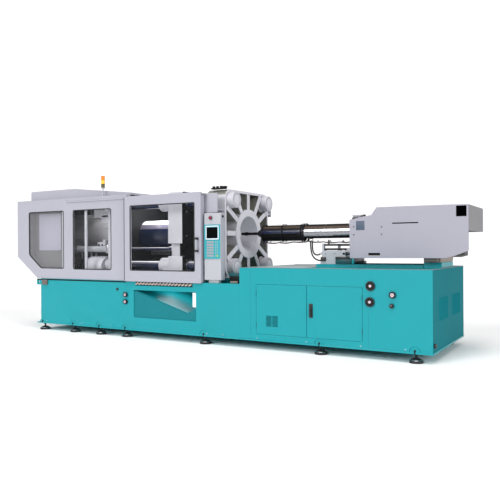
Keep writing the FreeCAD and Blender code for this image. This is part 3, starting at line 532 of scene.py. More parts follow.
class MOULDING_OT_stage(bpy.types.Operator):
    """Pale floor, white surroundings, soft lights and the camera"""
    bl_idname = "moulding.stage"
    bl_label = "Stage"

    def execute(self, context):
        scene = context.scene
        bm = bmesh.new()
        bmesh.ops.create_grid(bm, x_segments=1, y_segments=1, size=60)
        mesh = bpy.data.meshes.new("floor")
        bm.to_mesh(mesh)
        bm.free()
        floor = placed("floor", mesh)
        mesh.materials.append(shader("pale_floor", "FEFEFE", patch=0.005, patch_size=2,
                                     grain=0.05, depth=0.0, Roughness=0.9))
        world = bpy.data.worlds.new("white_room")
        world.use_nodes = True
        tree = world.node_tree
        sky = tree.nodes["Background"]
        sky.inputs["Color"].default_value = linear("FFFFFF")
        seen = add(tree, "ShaderNodeLightPath").outputs["Is Camera Ray"]
        strength = add(tree, "ShaderNodeMapRange", None,
                       {"Value": seen, "To Min": 0.42, "To Max": 1.1})
        tree.links.new(strength.outputs[0], sky.inputs["Strength"])
        scene.world = world
        scene.view_settings.view_transform = "Standard"
        soft_sun("front_boxes", (-0.28, -0.9, 0.42), 1.62, 25)
        soft_sun("top_boxes", (0.05, -0.35, 0.93), 1.3, 40)
        soft_sun("side_boxes", (0.9, -0.24, 0.38), 1.15, 30)
        soft_strip("clamp_top_strip", (-2.3, -0.4, 2.36), (1.4, 0.35), 14)
        soft_strip("chute_lamp", (-0.5, -0.35, 0.88), (0.9, 0.45), 2.6)
        soft_strip("mould_top_strip", (-1.0, -0.1, 2.39), (0.8, 0.5), 24)
        lens = bpy.data.cameras.new("camera")
        lens.lens, lens.sensor_width = sizes().lens, 36
        camera = placed("camera", lens)
        yaw, pitch, roll = (math.radians(a) for a in (30.5076, -0.109, -0.314))
        forward = Vector((-math.sin(yaw) * math.cos(pitch), math.cos(yaw) * math.cos(pitch),
                          math.sin(pitch)))
        camera.location = (5.603, -8.624, 1.479)
        camera.rotation_mode = "QUATERNION"
        level = forward.to_track_quat("-Z", "Y")
        camera.rotation_quaternion = level @ Matrix.Rotation(roll, 3, "Z").to_quaternion()
        scene.camera = camera
        return {"FINISHED"}


# ---- hoses --------------------------------------------------------------------------------
HOSE_DIAMETER = 0.022
HOSE_UPPER = [(1.708, -0.104, 1.627), (1.708, -0.104, 1.585), (1.71, -0.107, 1.52),
              (1.719, -0.118, 1.455), (1.752, -0.148, 1.404), (1.81, -0.196, 1.381),
              (1.88, -0.252, 1.381), (1.934, -0.308, 1.404), (1.972, -0.308, 1.404)]
HOSE_LOWER = [(1.68, -0.11, 1.627), (1.68, -0.11, 1.585), (1.683, -0.112, 1.515),
              (1.693, -0.118, 1.445), (1.718, -0.134, 1.38), (1.766, -0.172, 1.334),
              (1.83, -0.222, 1.31), (1.884, -0.266, 1.299), (1.926, -0.3, 1.298),
              (1.972, -0.3, 1.298)]
# strands of the heater wiring: start and end offset across (y, z) and depth of the swags
STRANDS = ((0.0, 0.004, 0.01, "loom"), (-0.007, -0.003, 0.016, "loom"),
           (0.006, -0.004, 0.006, "black"))


def curved(name, spots, radius, roundness, finish):
    """A round rubber or braided line through spots, on the carriage."""
    curve = bpy.data.curves.new(name, "CURVE")
    curve.dimensions, curve.bevel_depth, curve.bevel_resolution = "3D", radius, roundness
    curve.use_fill_caps = True
    line = curve.splines.new("NURBS")
    line.points.add(len(spots) - 1)
    for spot, place in zip(line.points, spots):
        spot.co = (*place, 1)
    line.order_u, line.use_endpoint_u = 3, True
    curve.materials.append(material(finish))
    made = placed(name, curve)
    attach(made, "carriage")
    return made


def strand(number, y_shift, z_shift, swag, finish):
    """One thin braided strand that hangs in shallow swags between its clips."""
    low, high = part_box("heater_harness")
    last = 29
    spots = []
    for k in range(last + 1):
        along = k / last
        dip = swag * math.sin(math.pi * (k % 5) / 5) if 0 < k < last else 0
        spots.append((low.x + 0.004 + (high.x - low.x - 0.008) * along, -0.056 + y_shift,
                      1.584 + z_shift - dip - 0.008 * math.sin(9.5 * along)))
    return curved(f"heater_strand_{number}", spots, 0.0042, 3, finish)


def hose(name, points, node):
    """A rubber hose between the barrel shield and the carriage block."""
    made = curved(name, points, HOSE_DIAMETER / 2, 6, "rubber")
    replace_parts(made, node)


class MOULDING_OT_hoses(bpy.types.Operator):
    """The two rubber hoses below the barrel"""
    bl_idname = "moulding.hoses"
    bl_label = "Hoses"

    def execute(self, context):
        hose("upper_hose", HOSE_UPPER, "hose_upper")
        hose("lower_hose", HOSE_LOWER, "hose_lower")
        bm = bmesh.new()
        length = 0.034
        for points in (HOSE_UPPER, HOSE_LOWER):
            for place, way, rim in ((points[0], Z, 0.014), (points[-1], X, 0.018)):
                lathe(bm, Vector(place) - way * length, way,
                      [(0.0115, 0), (0.016, 0.002), (0.016, 0.03), (rim, length)], 20)
        piece("hose_ferrules", bm, "zinc", "carriage")
        strands = [strand(k, *spread) for k, spread in enumerate(STRANDS)]
        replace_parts(strands[0], "heater_harness")
        bm = bmesh.new()
        low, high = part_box("heater_harness")
        for k in range(7):
            x = low.x + 0.1 + k * 0.21
            block(bm, (x - 0.012, -0.07, 1.57), (x + 0.012, -0.044, 1.598), 0.003)
            block(bm, (x - 0.004, -0.06, 1.598), (x + 0.004, -0.054, 1.612), 0)
        piece("harness_clips", bm, "white", "carriage")
        bm = bmesh.new()
        block(bm, (1.955, -0.075, 1.54), (1.975, -0.05, 1.612), 0.003)
        for x in (1.13, 1.56, 2.2):
            block(bm, (x - 0.016, -0.072, 1.574), (x + 0.016, -0.042, 1.592), 0.004)
        piece("harness_plugs", bm, "black", "carriage")
        return {"FINISHED"}


# ---- base ---------------------------------------------------------------------------------
class MOULDING_OT_base(bpy.types.Operator):
    """The two welded bases, their trim and the levelling feet"""
    bl_idname = "moulding.base"
    bl_label = "Base"

    def execute(self, context):
        recast("clamp_base", "teal", 0.004)
        # The end face of the injection base is painted a darker teal as shade.
        recast("injection_base", "teal", 0.005,
               faces=(("teal_painted_shade", lambda c, n: n.x > 0.9 and c.x > 3.7),))
        recast("part_chute", "teal", 0.002)
        recast("foot_pads", "rubber", 0.003)
        recast("foot_studs", "black_steel", 0.0015)
        self.flanges()
        self.deck()
        self.end_louvres()
        self.lining()
        self.chute_trim()
        return {"FINISHED"}

    def flanges(self):
        """Folded foot flange, panel seams, small terminal box, screws and foot rings."""
        bm = bmesh.new()
        y0, y1 = CLAMP_LO.y - 0.008, CLAMP_LO.y
        for x0, x1 in ((-3.448, 0.894), (0.902, INJ_HI.x)):
            block(bm, (x0, y0, 0.12), (x1, y1, 0.146), 0.003)
        mirrored(bm)
        block(bm, (INJ_HI.x, -0.955, 0.12), (INJ_HI.x + 0.008, 0.955, 0.146), 0.003)
        piece("base_flange", bm, "teal")
        bm = bmesh.new()
        block(bm, (1.085, y1 - 0.0006, 0.15), (1.0875, y1 + 0.01, 1.19))
        block(bm, (2.905, y1 - 0.0006, 0.15), (2.9075, y1 + 0.01, 0.62))
        mirrored(bm)
        piece("base_seams", bm, "teal_inside")
        blocks("terminal_box", "oiled", ((-3.394, -0.99, 0.839), (-3.259, -0.958, 0.929), 0.006))
        bm = bmesh.new()
        bolts(bm, (-3.378, -3.275), -0.99, (0.851, 0.917), -Y, 0.004)
        bolts(bm, (-3.44, -3.3, -2.4, -1.7, 0.3, 0.6, 1.2, 2.0, 2.8, 3.4), -0.958, 0.17, -Y, 0.007)
        mirrored(bm)
        piece("base_screws", bm, "zinc")
        bm = bmesh.new()
        for x in FEET:
            for side in (-1, 1):
                lathe(bm, (x, side * 0.893, 0.034), Z, [(0.06, 0.0125), (0.078, 0.0065),
                                                        (0.082, 0.002), (0.06, 0.0)], 32)
        piece("foot_rings", bm, "zinc")

    def deck(self):
        """Drip sheets on both decks and the folded lip round the injection deck."""
        bm = bmesh.new()
        lo, hi = INJ_LO, INJ_HI
        block(bm, (0.93, lo.y + 0.03, hi.z), (1.86, hi.y - 0.03, hi.z + 0.004), 0.0015)
        piece("deck_sheets", bm, "deck")
        # The lip is darker than the deck sheets: painted shadow along the deck's edge.
        blocks("deck_lip", "lip",
               ((0.9, lo.y, hi.z), (hi.x, lo.y + 0.03, hi.z + 0.008), 0.003),
               ((hi.x - 0.03, lo.y + 0.03, hi.z), (hi.x, hi.y - 0.03, hi.z + 0.008), 0.003),
               ((0.9, hi.y - 0.03, hi.z), (hi.x, hi.y, hi.z + 0.008), 0.003))
        # The clamp deck's sheets are near-black: oiled steel, darkened as painted shade of the clamp
        # space.
        bm = bmesh.new()
        top = CLAMP_HI.z
        for x0, x1, y0, y1 in ((-3.42, -1.11, -0.9, 0.9), (-1.11, 0.065, -0.9, -0.41),
                               (-1.11, 0.065, 0.41, 0.9), (0.065, 0.13, -0.9, 0.9)):
            block(bm, (x0, y0, top - 0.001), (x1, y1, top + 0.0015))
        piece("clamp_deck_mats", bm, "deck_black_and_shade")

    def end_louvres(self):
        """Pressed louvres and a cable gland on the end face; black blocks in the louvre openings are
        painted shade.
        """
        bm = bmesh.new()
        x = INJ_HI.x
        for group in (-0.62, 0.18):
            for k in range(9):
                y = group + k * 0.055
                face = sheet_face(bm, [(x - 0.001, y, 0.52), (x - 0.001, y, 0.82),
                                       (x + 0.012, y + 0.022, 0.81), (x + 0.012, y + 0.022, 0.53)])
                pulled(bm, [face], (-0.002, 0.004, 0))
        # The louvres take the darker teal of painted shade.
        piece("end_louvres", bm, "teal_painted_shade")
        bm = bmesh.new()
        for group in (-0.62, 0.18):
            for k in range(9):
                y = group + k * 0.055
                block(bm, (x - 0.002, y + 0.01, 0.53), (x + 0.0008, y + 0.022, 0.81))
        post(bm, (x, -0.9, 0.235), X, 0.03, 0.03, 0.006)
        piece("end_dark", bm, "black")

    def lining(self):
        """Half-round covers of the foot pockets, with the tip of each stud in front of them."""
        covers, tips = bmesh.new(), bmesh.new()
        for x in FEET:
            arc = [(x + 0.076 * math.cos(math.pi * k / 16), 0.1215 + 0.092 * math.sin(math.pi * k / 16))
                   for k in range(17)]
            plate(covers, at_y(arc, CLAMP_LO.y + 0.0035), (0, 0.003, 0))
            post(tips, (x, CLAMP_LO.y + 0.001, 0.121), Z, 0.052, 0.0125, 0.004, 20)
        mirrored(covers)
        mirrored(tips)
        piece("pocket_covers", covers, "teal")
        piece("stud_tips", tips, "black_steel")

    def chute_trim(self):
        """Apron that closes the front below the chute, and a near-white strip at its right end: painted
        light that stands for the white room seen through the slot there.
        """
        bm = bmesh.new()
        y = CLAMP_LO.y + 0.013
        plate(bm, at_y([(-1.18, 0.79), (-0.08, 0.461), (0.096, 0.551), (0.096, 0.346),
                        (-1.18, 0.346)], y), (0, 0.003, 0))
        piece("chute_apron", bm, "teal_slide")
        # Painted light: near-white where the slot shows the white room beyond.
        blocks("chute_slot_painted_light", "glint", ((0.026, y - 0.002, 0.566), (0.094, y, 0.792)))


FEET = (-3.41, -2.621, -1.982, -1.38, 0.234, 2.192, 3.523)


class MOULDING_OT_water(bpy.types.Operator):
    """Water manifold under the front gate"""
    bl_idname = "moulding.water"
    bl_label = "Water manifold"

    def execute(self, context):
        low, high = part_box("water_manifold")
        bm = bmesh.new()
        block(bm, (low.x, CLAMP_LO.y + 0.022, 0.884), (high.x, CLAMP_LO.y + 0.07, 0.944), 0.003)
        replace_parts(piece("manifold_bar", bm, "dark_teal", "base"), "water_manifold")
        bm = bmesh.new()
        count = sizes().nipples
        way = Vector((-0.25, -1, -0.45)).normalized()
        pitch = (high.x - low.x - 0.06) / max(1, count - 1)
        barb = [(0.0, 0.06), (0.0065, 0.06), (0.0105, 0.052), (0.0085, 0.051), (0.0105, 0.044),
                (0.0085, 0.043), (0.0105, 0.036), (0.009, 0.035), (0.009, 0.028),
                (0.015, 0.026), (0.015, 0.008), (0.017, 0.006), (0.017, 0.0)]
        for k in range(count):
            root = Vector((low.x + 0.03 + k * pitch, CLAMP_LO.y + 0.024, 0.922))
            lathe(bm, root, way, barb, 18)
        piece("water_nipples", bm, "nipple")
        return {"FINISHED"}


# ---- cabinet ------------------------------------------------------------------------------
class MOULDING_OT_cabinet(bpy.types.Operator):
    """Cabinet doors, louvres, fans, instruments and what is behind the doors"""
    bl_idname = "moulding.cabinet"
    bl_label = "Cabinet"

    def execute(self, context):
        for name in ("cabinet_door_left", "cabinet_door_right"):
            recast(name, "teal", 0.002)
        recast("door_latch", "black", 0.002)
        recast("fan_housings", "black", 0.001)
        for name in ("fan_rotor_upper", "fan_rotor_lower"):
            recast(name, "black", 0.001)
        recast("gauge_cases", "black", 0.002)
        recast("control_knob", "black", 0.003)
        recast("pump_set", "oiled", 0.006)
        self.doors()
        self.instruments()
        self.electrics()
        return {"FINISHED"}

    def doors(self):
        bm = bmesh.new()
        low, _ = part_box("cabinet_door_left")
        for column in (1.355, 1.458):
            for k in range(9):
                z = 0.355 + 0.018 * k
                plate(bm, [(column - 0.002, low.y, z + 0.004), (column + 0.088, low.y, z + 0.004),
                           (column + 0.086, low.y - 0.008, z - 0.005),
                           (column, low.y - 0.008, z - 0.005)], (0, 0.0015, 0.001))
        # The door louvres take the darker teal of painted shade.
        piece("door_louvres", bm, "teal_painted_shade", "door_left")
        for body, x in (("door_left", 1.1885), ("door_right", 2.8215)):
            bm = bmesh.new()
            for z in (0.36, 0.82):
                post(bm, (x, low.y - 0.004, z - 0.035), Z, 0.07, 0.0045, 0.001, 16)
            piece("hinges_" + body, bm, "teal_inside", body)
        bm = bmesh.new()
        post(bm, (2.072, low.y - 0.003, 0.68), -Y, 0.006, 0.013, 0.001, 24)
        block(bm, (2.044, low.y - 0.003, 0.508), (2.1, low.y, 0.706), 0.001)
        piece("latch_plate", bm, "black", "door_right")

    def instruments(self):
        """Dials, needles and rings of the gauges, the fan's pale hubs and the small knob."""
        front = CLAMP_LO.y
        rings, cards, marks = bmesh.new(), bmesh.new(), bmesh.new()
        for x, z, r in ((-1.351, 0.719, 0.04), (-1.352, 0.6, 0.04), (3.239, 0.868, 0.043)):
            profile = [(r - 0.015, 0.005), (r - 0.006, 0.006), (r - 0.002, 0.0075),
                       (r + 0.001, 0.004), (r + 0.001, -0.004)]
            lathe(rings, (x, front - 0.03, z), -Y, profile, 40)
            post(cards, (x, front - 0.03, z), -Y, 0.0012, r - 0.0065, 0, 40)
            for k in range(11):
                a = math.radians(225 - 27 * k)
                reach = r - 0.012
                at = Vector((x + math.cos(a) * reach, front - 0.0314, z + math.sin(a) * reach))
                block(marks, at - Vector((0.0008, 0.0002, 0.0008)) * 1.2,
                      at + Vector((0.0008, 0.0004, 0.0008)) * 1.2)
            plate(marks, [(x - 0.0012, front - 0.0322, z), (x + 0.0012, front - 0.0322, z),
                          (x - 0.018, front - 0.0322, z + 0.02)], (0, -0.0006, 0))
            post(marks, (x, front - 0.0312, z), -Y, 0.003, 0.0035, 0, 16)
        piece("gauge_rings", rings, "black_steel")
        piece("gauge_dials", cards, "dial")
        piece("gauge_marks", marks, "black")
        bm = bmesh.new()
        for x, z in ((2.939, 0.977), (2.931, 0.764)):
            lathe(bm, (x, front - 0.0218, z), -Y,
                  [(0.019, 0), (0.019, 0.002), (0.01, 0.004), (0, 0.004)], 24)
        piece("fan_hubs", bm, "dial")
        bm = bmesh.new()
        lathe(bm, (-1.542, front, 0.806), -Y, [(0.022, 0), (0.022, 0.012), (0.014, 0.014),
                                               (0.014, 0.026), (0.0, 0.03)], 24)
        piece("bleed_knob", bm, "black")
        blocks("knob_pointer", "dial",
               ((3.225, front - 0.0465, 0.724), (3.231, front - 0.0438, 0.739), 0.0004), body="knob")

    def electrics(self):
        """Mounting plate with drives, relays and ducts in the cabinet's left half."""
        blocks("electrics_plate", "zinc", ((1.22, -0.36, 0.25), (1.98, -0.35, 0.95), 0.002))
        bm = bmesh.new()
        for x0, x1, z0, z1, d in ((1.26, 1.46, 0.62, 0.9, 0.12), (1.5, 1.66, 0.66, 0.9, 0.1),
                                  (1.7, 1.94, 0.7, 0.88, 0.08)):
            block(bm, (x0, -0.36 - d, z0), (x1, -0.36, z1), 0.004)
        for k in range(12):
            x = 1.27 + k * 0.055
            block(bm, (x, -0.43, 0.4), (x + 0.045, -0.36, 0.49), 0.002)
        piece("electrics_units", bm, "black")
        bm = bmesh.new()
        for z in (0.3, 0.54):
            block(bm, (1.25, -0.42, z), (1.95, -0.36, z + 0.045), 0.002)
        piece("electrics_ducts", bm, "plate")


# ---- clamp --------------------------------------------------------------------------------
BARS = [(sy * BAR_OFFSET, AXIS_Z + sz * BAR_OFFSET) for sy in (-1, 1) for sz in (-1, 1)]


def in_pocket(centre, normal):
    """Floors and walls between the ribs of the stationary platen."""
    across, up = abs(centre.y), abs(centre.z - AXIS_Z)
    floor = normal.x > 0.9 and centre.x < 0.3 and math.hypot(across, up) > 0.3
    wall = abs(normal.x) < 0.3 and centre.x > 0.25 and max(across, up) < 0.685
    return floor or (wall and math.hypot(across, up) > 0.42)


class MOULDING_OT_clamp(bpy.types.Operator):
    """Platens, tie bars, ram and cylinders"""
    bl_idname = "moulding.clamp"
    bl_label = "Clamp"

    def execute(self, context):
        # The stationary platen's +X faces take the lighter casting colour as painted light.
        recast("stationary_platen", "casting", 0.006,
               faces=(("casting_lit_face", lambda c, n: n.x > 0.9), ("pocket", in_pocket),
                      ("black_paint_and_shade", lambda c, n: n.x < -0.9 and c.x < 0.2)))
        # Flat black on the mould faces of the stationary and moving platens and on the rear platen's
        # front face: painted shade of the mould space, over the dark oiled steel of the mould faces.
        recast("moving_platen", "casting", 0.006,
               faces=(("black_paint_and_shade", lambda c, n: n.x > 0.9 and c.x > -0.37),))
        recast("rear_platen", "casting", 0.006,
               faces=(("black_paint_and_shade", lambda c, n: n.x > 0.9 and c.x > -1.66),))
        # The main cylinder's white casting is painted a darker grey as shade inside the guard, and its
        # lower faces darker still.
        recast("main_cylinder", "cylinder_casting_shade", 0.006,
               faces=(("oiled", lambda c, n: c.z < AXIS_Z - 0.3),))
        # Painted reflections: faces turned up near the top take a white highlight, the faces below them
        # a violet band and the rest of the round a navy band.
        for name in ("ram", "tie_bars", "traverse_rods"):
            recast(name, "chrome", 0.002,
                   faces=(("glint", lambda c, n: 0.72 < n.z < 0.97),
                          ("painted_reflection_mid", lambda c, n: 0.4 < n.z <= 0.72),
                          ("chrome_navy", lambda c, n: abs(n.x) < 0.5 and n.z <= 0.4)))
        recast("tie_bar_nuts", "casting", 0.008)
        recast("traverse_cylinders", "white", 0.003)
        recast("safety_bar", "black_steel", 0.003)
        recast("ejector_rod", "steel", 0.002)
        self.nuts()
        self.cylinder_details()
        self.platen_details()
        self.rib_caps()
        return {"FINISHED"}

    def nuts(self):
        """Blank ends of the tie bars inside their nuts, in the lighter casting colour of painted light.
        """
        bm = bmesh.new()
        for y, z in BARS:
            lathe(bm, (0.6, y, z), X, [(0.0, 0.004), (0.06, 0.004), (0.064, 0.002), (0.078, 0.002),
                                       (0.082, 0.0)], 40)
        piece("bar_ends", bm, "casting_lit_face")

    def cylinder_details(self):
        """Ports, brackets and pipes round the clamp cylinder, seen through the guard windows."""
        bm = bmesh.new()
        block(bm, (-2.46, -0.5, 1.5), (-2.26, -0.36, 1.62), 0.008)
        block(bm, (-2.3, -0.52, 1.45), (-2.24, -0.44, 1.66), 0.006)
        block(bm, (-2.42, -0.62, 2.06), (-2.06, -0.54, 2.3), 0.006)
        block(bm, (-2.24, -0.62, 1.96), (-2.06, -0.56, 2.1), 0.006)
        lathe(bm, (-2.6, -0.55, 1.165), X, [(0.0, 0.0), (0.13, 0.004), (0.18, 0.05), (0.195, 0.1),
                                            (0.195, 0.42), (0.18, 0.46), (0.0, 0.47)], 40)
        block(bm, (-2.56, -0.65, 0.953), (-2.2, -0.45, 1.02), 0.01)
        piece("cylinder_brackets", bm, "casting")
        bm = bmesh.new()
        for x in (-2.42, -2.33):
            lathe(bm, (x, -0.5, 1.56), -Y, [(0.0, 0.001), (0.015, 0.001), (0.015, 0.004),
                                            (0.022, 0.005), (0.022, 0.0)], 24)
        for k, (y, z) in enumerate(((-0.36, 2.18), (-0.3, 2.22), (-0.24, 2.24))):
            post(bm, (-3.45, y, z), X, 1.2, 0.022, 0.002, 20)
        block(bm, (-3.5, -0.5, 2.14), (-2.62, -0.3, 2.36), 0.01)
        block(bm, (-3.4, -0.62, 0.96), (-2.7, -0.4, 1.18), 0.02)
        for k in range(5):
            post(bm, (-3.36 + 0.14 * k, -0.64, 1.02 + 0.02 * (k % 2)), Z, 0.2, 0.03, 0.004, 20)
        piece("cylinder_valves", bm, "black_paint_and_shade", "base")
        bm = bmesh.new()
        for y in (-0.56, 0.56):
            for x in (-3.52, -2.9, -2.12):
                block(bm, (x, y - 0.075, 1.415), (x + 0.05, y + 0.075, 1.565), 0.01)
        for k in range(4):
            post(bm, (-2.95 + k * 0.12, -0.4, 1.3), Z, 0.22 - 0.03 * k, 0.016, 0.002, 16)
        piece("traverse_clamps", bm, "steel")

    def rib_caps(self):
        """Wide faces of the ribs that run out from the nozzle ring of the stationary platen, in the
        lighter casting colour of painted light.
        """
        bm = bmesh.new()
        centre = Vector((0.486, 0, AXIS_Z))
        spokes = [(90 * quarter, 0.65) for quarter in range(4)]
        spokes += [(45 + 90 * quarter + tilt, 0.775) for quarter in range(4) for tilt in (-13, 13)]
        for degrees, reach in spokes:
            a = math.radians(degrees)
            out = Vector((0, math.cos(a), math.sin(a)))
            half = Vector((0, -math.sin(a), math.cos(a))) * 0.04
            plate(bm, [centre + out * 0.39 + half, centre + out * reach + half,
                       centre + out * reach - half, centre + out * 0.39 - half], (0.012, 0, 0))
        piece("platen_rib_caps", bm, "casting_lit_face")

    def platen_details(self):
        """Slots, bushes and screws of the moving platen, and the feet of the fixed one."""
        # The slots are black blocks: painted shade inside them.
        bm = bmesh.new()
        for y0 in (-0.616, 0.606):
            block(bm, (-0.47, y0, 1.362), (-0.3565, y0 + 0.01, 1.578), 0.002)
        piece("platen_slots", bm, "void", "moving_platen")
        bm = bmesh.new()
        for y, z in BARS:
            lathe(bm, (MOVING_HI.x, y, z), X, [(0.0815, 0.004), (0.1, 0.004), (0.106, 0.0)], 40)
        bolts(bm, MOVING_HI.x, (-0.62, 0.62), (1.3, 1.7, 2.1), X, 0.012)
        piece("platen_bushes", bm, "steel", "moving_platen")
        blocks("platen_keys", "teal_inside",
               ((0.1, -0.7, 0.955), (0.52, -0.42, 1.02), 0.006),
               ((0.1, 0.42, 0.955), (0.52, 0.7, 1.02), 0.006))
        bm = bmesh.new()
        bolts(bm, (0.2, 0.3, 0.4), (-0.67, 0.67), 1.02, Z, 0.018)
        piece("platen_foot_bolts", bm, "black_steel")


# ---- guards -------------------------------------------------------------------------------
WINDOW_1 = [(-3.783, 1.39), (-3.783, 2.19), (-2.848, 2.19), (-2.848, 1.14), (-3.455, 1.14)]
WINDOW_2 = [(-2.613, 1.13), (-2.613, 2.19), (-1.691, 2.19), (-1.691, 1.13)]
GATE_WINDOW = [(-1.218, 1.13), (-1.218, 2.21), (0.109, 2.21), (0.109, 1.13)]


def at_y(outline, y):
    return [(x, y, z) for x, z in outline]


def grown(outline, by):
    """An outline moved outwards from its middle by a small amount."""
    mid_x = (min(x for x, _ in outline) + max(x for x, _ in outline)) / 2
    mid_z = (min(z for _, z in outline) + max(z for _, z in outline)) / 2
    return [(x + math.copysign(by, x - mid_x), z + math.copysign(by, z - mid_z)) for x, z in outline]


def under_roof(centre, normal):
    """The inside of the roof and its hood, painted near-black as shade under the roof."""
    above = centre.z > ROOF_INSIDE
    side_wall = above and abs(normal.y) > 0.9 and normal.y * centre.y < 0
    end_wall = above and normal.x > 0.9 and abs(centre.y) < 0.8 and centre.x < -3.8
    return normal.z < -0.5 or side_wall or end_wall


class MOULDING_OT_guards(bpy.types.Operator):
    """Fixed guards, their windows, gaskets and posts"""
    bl_idname = "moulding.guards"
    bl_label = "Guards"

    def execute(self, context):
        edge = sizes().rounding
        for name in ("guard_front_panel", "guard_back_panel", "guard_end_panel"):
            recast(name, "grey", edge)
        # The underside of the roof is near-black: painted shade.
        recast("guard_roof", "grey", edge, faces=(("deck_black_and_shade", under_roof),))
        recast("gate_rails", "grey", 0.001,
               faces=(("black_paint_and_shade", lambda c, n: c.z < 1.0),))
        recast("guard_windows", "guard_pane",
               faces=(("hazed_pane", lambda c, n: c.x < -2.8 and c.y < 0),
                      ("smoked_pane", lambda c, n: c.y > 0)))
        outer = GUARD_LO.y
        bm = bmesh.new()
        for outline in (WINDOW_1, WINDOW_2):
            border(bm, at_y(grown(outline, 0.004), outer - 0.0015), sizes().gasket, (0, 0.01, 0), 0.04)
        mirrored(bm)
        piece("window_gaskets", bm, "rubber")
        bm = bmesh.new()
        for x, half in ((-2.898, 0.02), (-2.323, 0.025)):
            block(bm, (x - half, outer + 0.022, 1.14), (x + half, outer + 0.05, 2.19), 0.004)
        mirrored(bm)
        piece("window_posts", bm, "white")
        bm = bmesh.new()
        plate(bm, at_y(WINDOW_1, -0.8), (0, 0.003, 0))
        border(bm, at_y(WINDOW_1, -0.801), 0.004, (0, -0.126, 0))
        piece("window_liner", bm, "liner_grey")
        blocks("window_lining", "lilac", ((-3.66, -0.812, 1.47), (-3.07, -0.802, 2.16), 0.002))
        # A flat black sheet inside the back guard: painted shade behind the clamp.
        blocks("rear_guard_painted_shade", "black_paint_and_shade", ((-2.83, 0.9145, 1.0), (-1.36, 0.9175, 2.4)))
        blocks("end_guard_lining", "lilac",
               ((GUARD_LO.x + 0.0305, -0.594, 1.5), (GUARD_LO.x + 0.04, 0.594, 2.25), 0.002))
        self.seams(outer)
        return {"FINISHED"}

    def seams(self, outer):
        """Dark strip along the lower track, screws and the access panel in the end guard."""
        bm = bmesh.new()
        block(bm, (-3.446, outer - 0.0015, 0.935), (-1.352, outer + 0.001, 0.951))
        mirrored(bm)
        piece("guard_seams", bm, "black")
        bm = bmesh.new()
        bolts(bm, (-4.07, -3.2, -2.78, -2.69, -2.1, -1.4), outer, 2.375, -Y, 0.008)
        bolts(bm, (-3.4, -2.78, -2.69, -2.1, -1.4), outer, 1.0, -Y, 0.008)
        mirrored(bm)
        bolts(bm, GUARD_LO.x, (-0.88, -0.3, 0.3, 0.88), (1.45, 2.33), -X, 0.008)
        piece("guard_screws", bm, "zinc")
        blocks("end_access_panel", "grey",
               ((GUARD_LO.x, -0.6, 1.56), (GUARD_LO.x + 0.002, 0.6, 2.25), 0.0))


class MOULDING_OT_gates(bpy.types.Operator):
    """Sliding gates with their panes, gaskets, shoes and handles"""
    bl_idname = "moulding.gates"
    bl_label = "Gates"

    def execute(self, context):
        for side, name, pane in ((-1, "front_gate", "gate_pane"), (1, "rear_gate", "smoked_pane")):
            recast(name, "grey", sizes().rounding)
            recast(name + "_window", pane)
            recast(name + "_handle", "zinc", 0.002)
            outer = side * 1.003
            self.trim(side, name, outer)
        # A flat black sheet on the rear gate's inside: painted shade of the mould space.
        blocks("rear_gate_painted_shade", "black_paint_and_shade",
               ((-1.34, 0.9575, 0.962), (0.2, 0.9605, 2.32), 0.001), body="rear_gate")
        return {"FINISHED"}

    def trim(self, side, name, outer):
        inward = -side
        bm = bmesh.new()
        border(bm, at_y(grown(GATE_WINDOW, 0.004), outer - inward * 0.0015), sizes().gasket,
               (0, inward * 0.011, 0), 0.025)
        piece(name + "_gasket", bm, "rubber", name)
        bm = bmesh.new()
        x, z0, z1 = 0.167, 1.434, 1.661
        for z in (z0, z1 - 0.034):
            lo = (x - 0.0195, outer + side * 0.0005 if side > 0 else outer - 0.061, z - 0.0015)
            hi = (x + 0.0195, outer + 0.061 if side > 0 else outer - 0.0005, z + 0.0355)
            block(bm, lo, hi, 0.006)
        y0, y1 = sorted((outer, outer + side * 0.0015))
        block(bm, (-1.3495, y0, 0.96), (-1.338, y1, 2.355))
        piece(name + "_caps", bm, "black", name)
        bm = bmesh.new()
        bolts(bm, (-1.29, 0.19), outer, (0.985, 2.33), side * Y, 0.008)
        piece(name + "_screws", bm, "zinc", name)


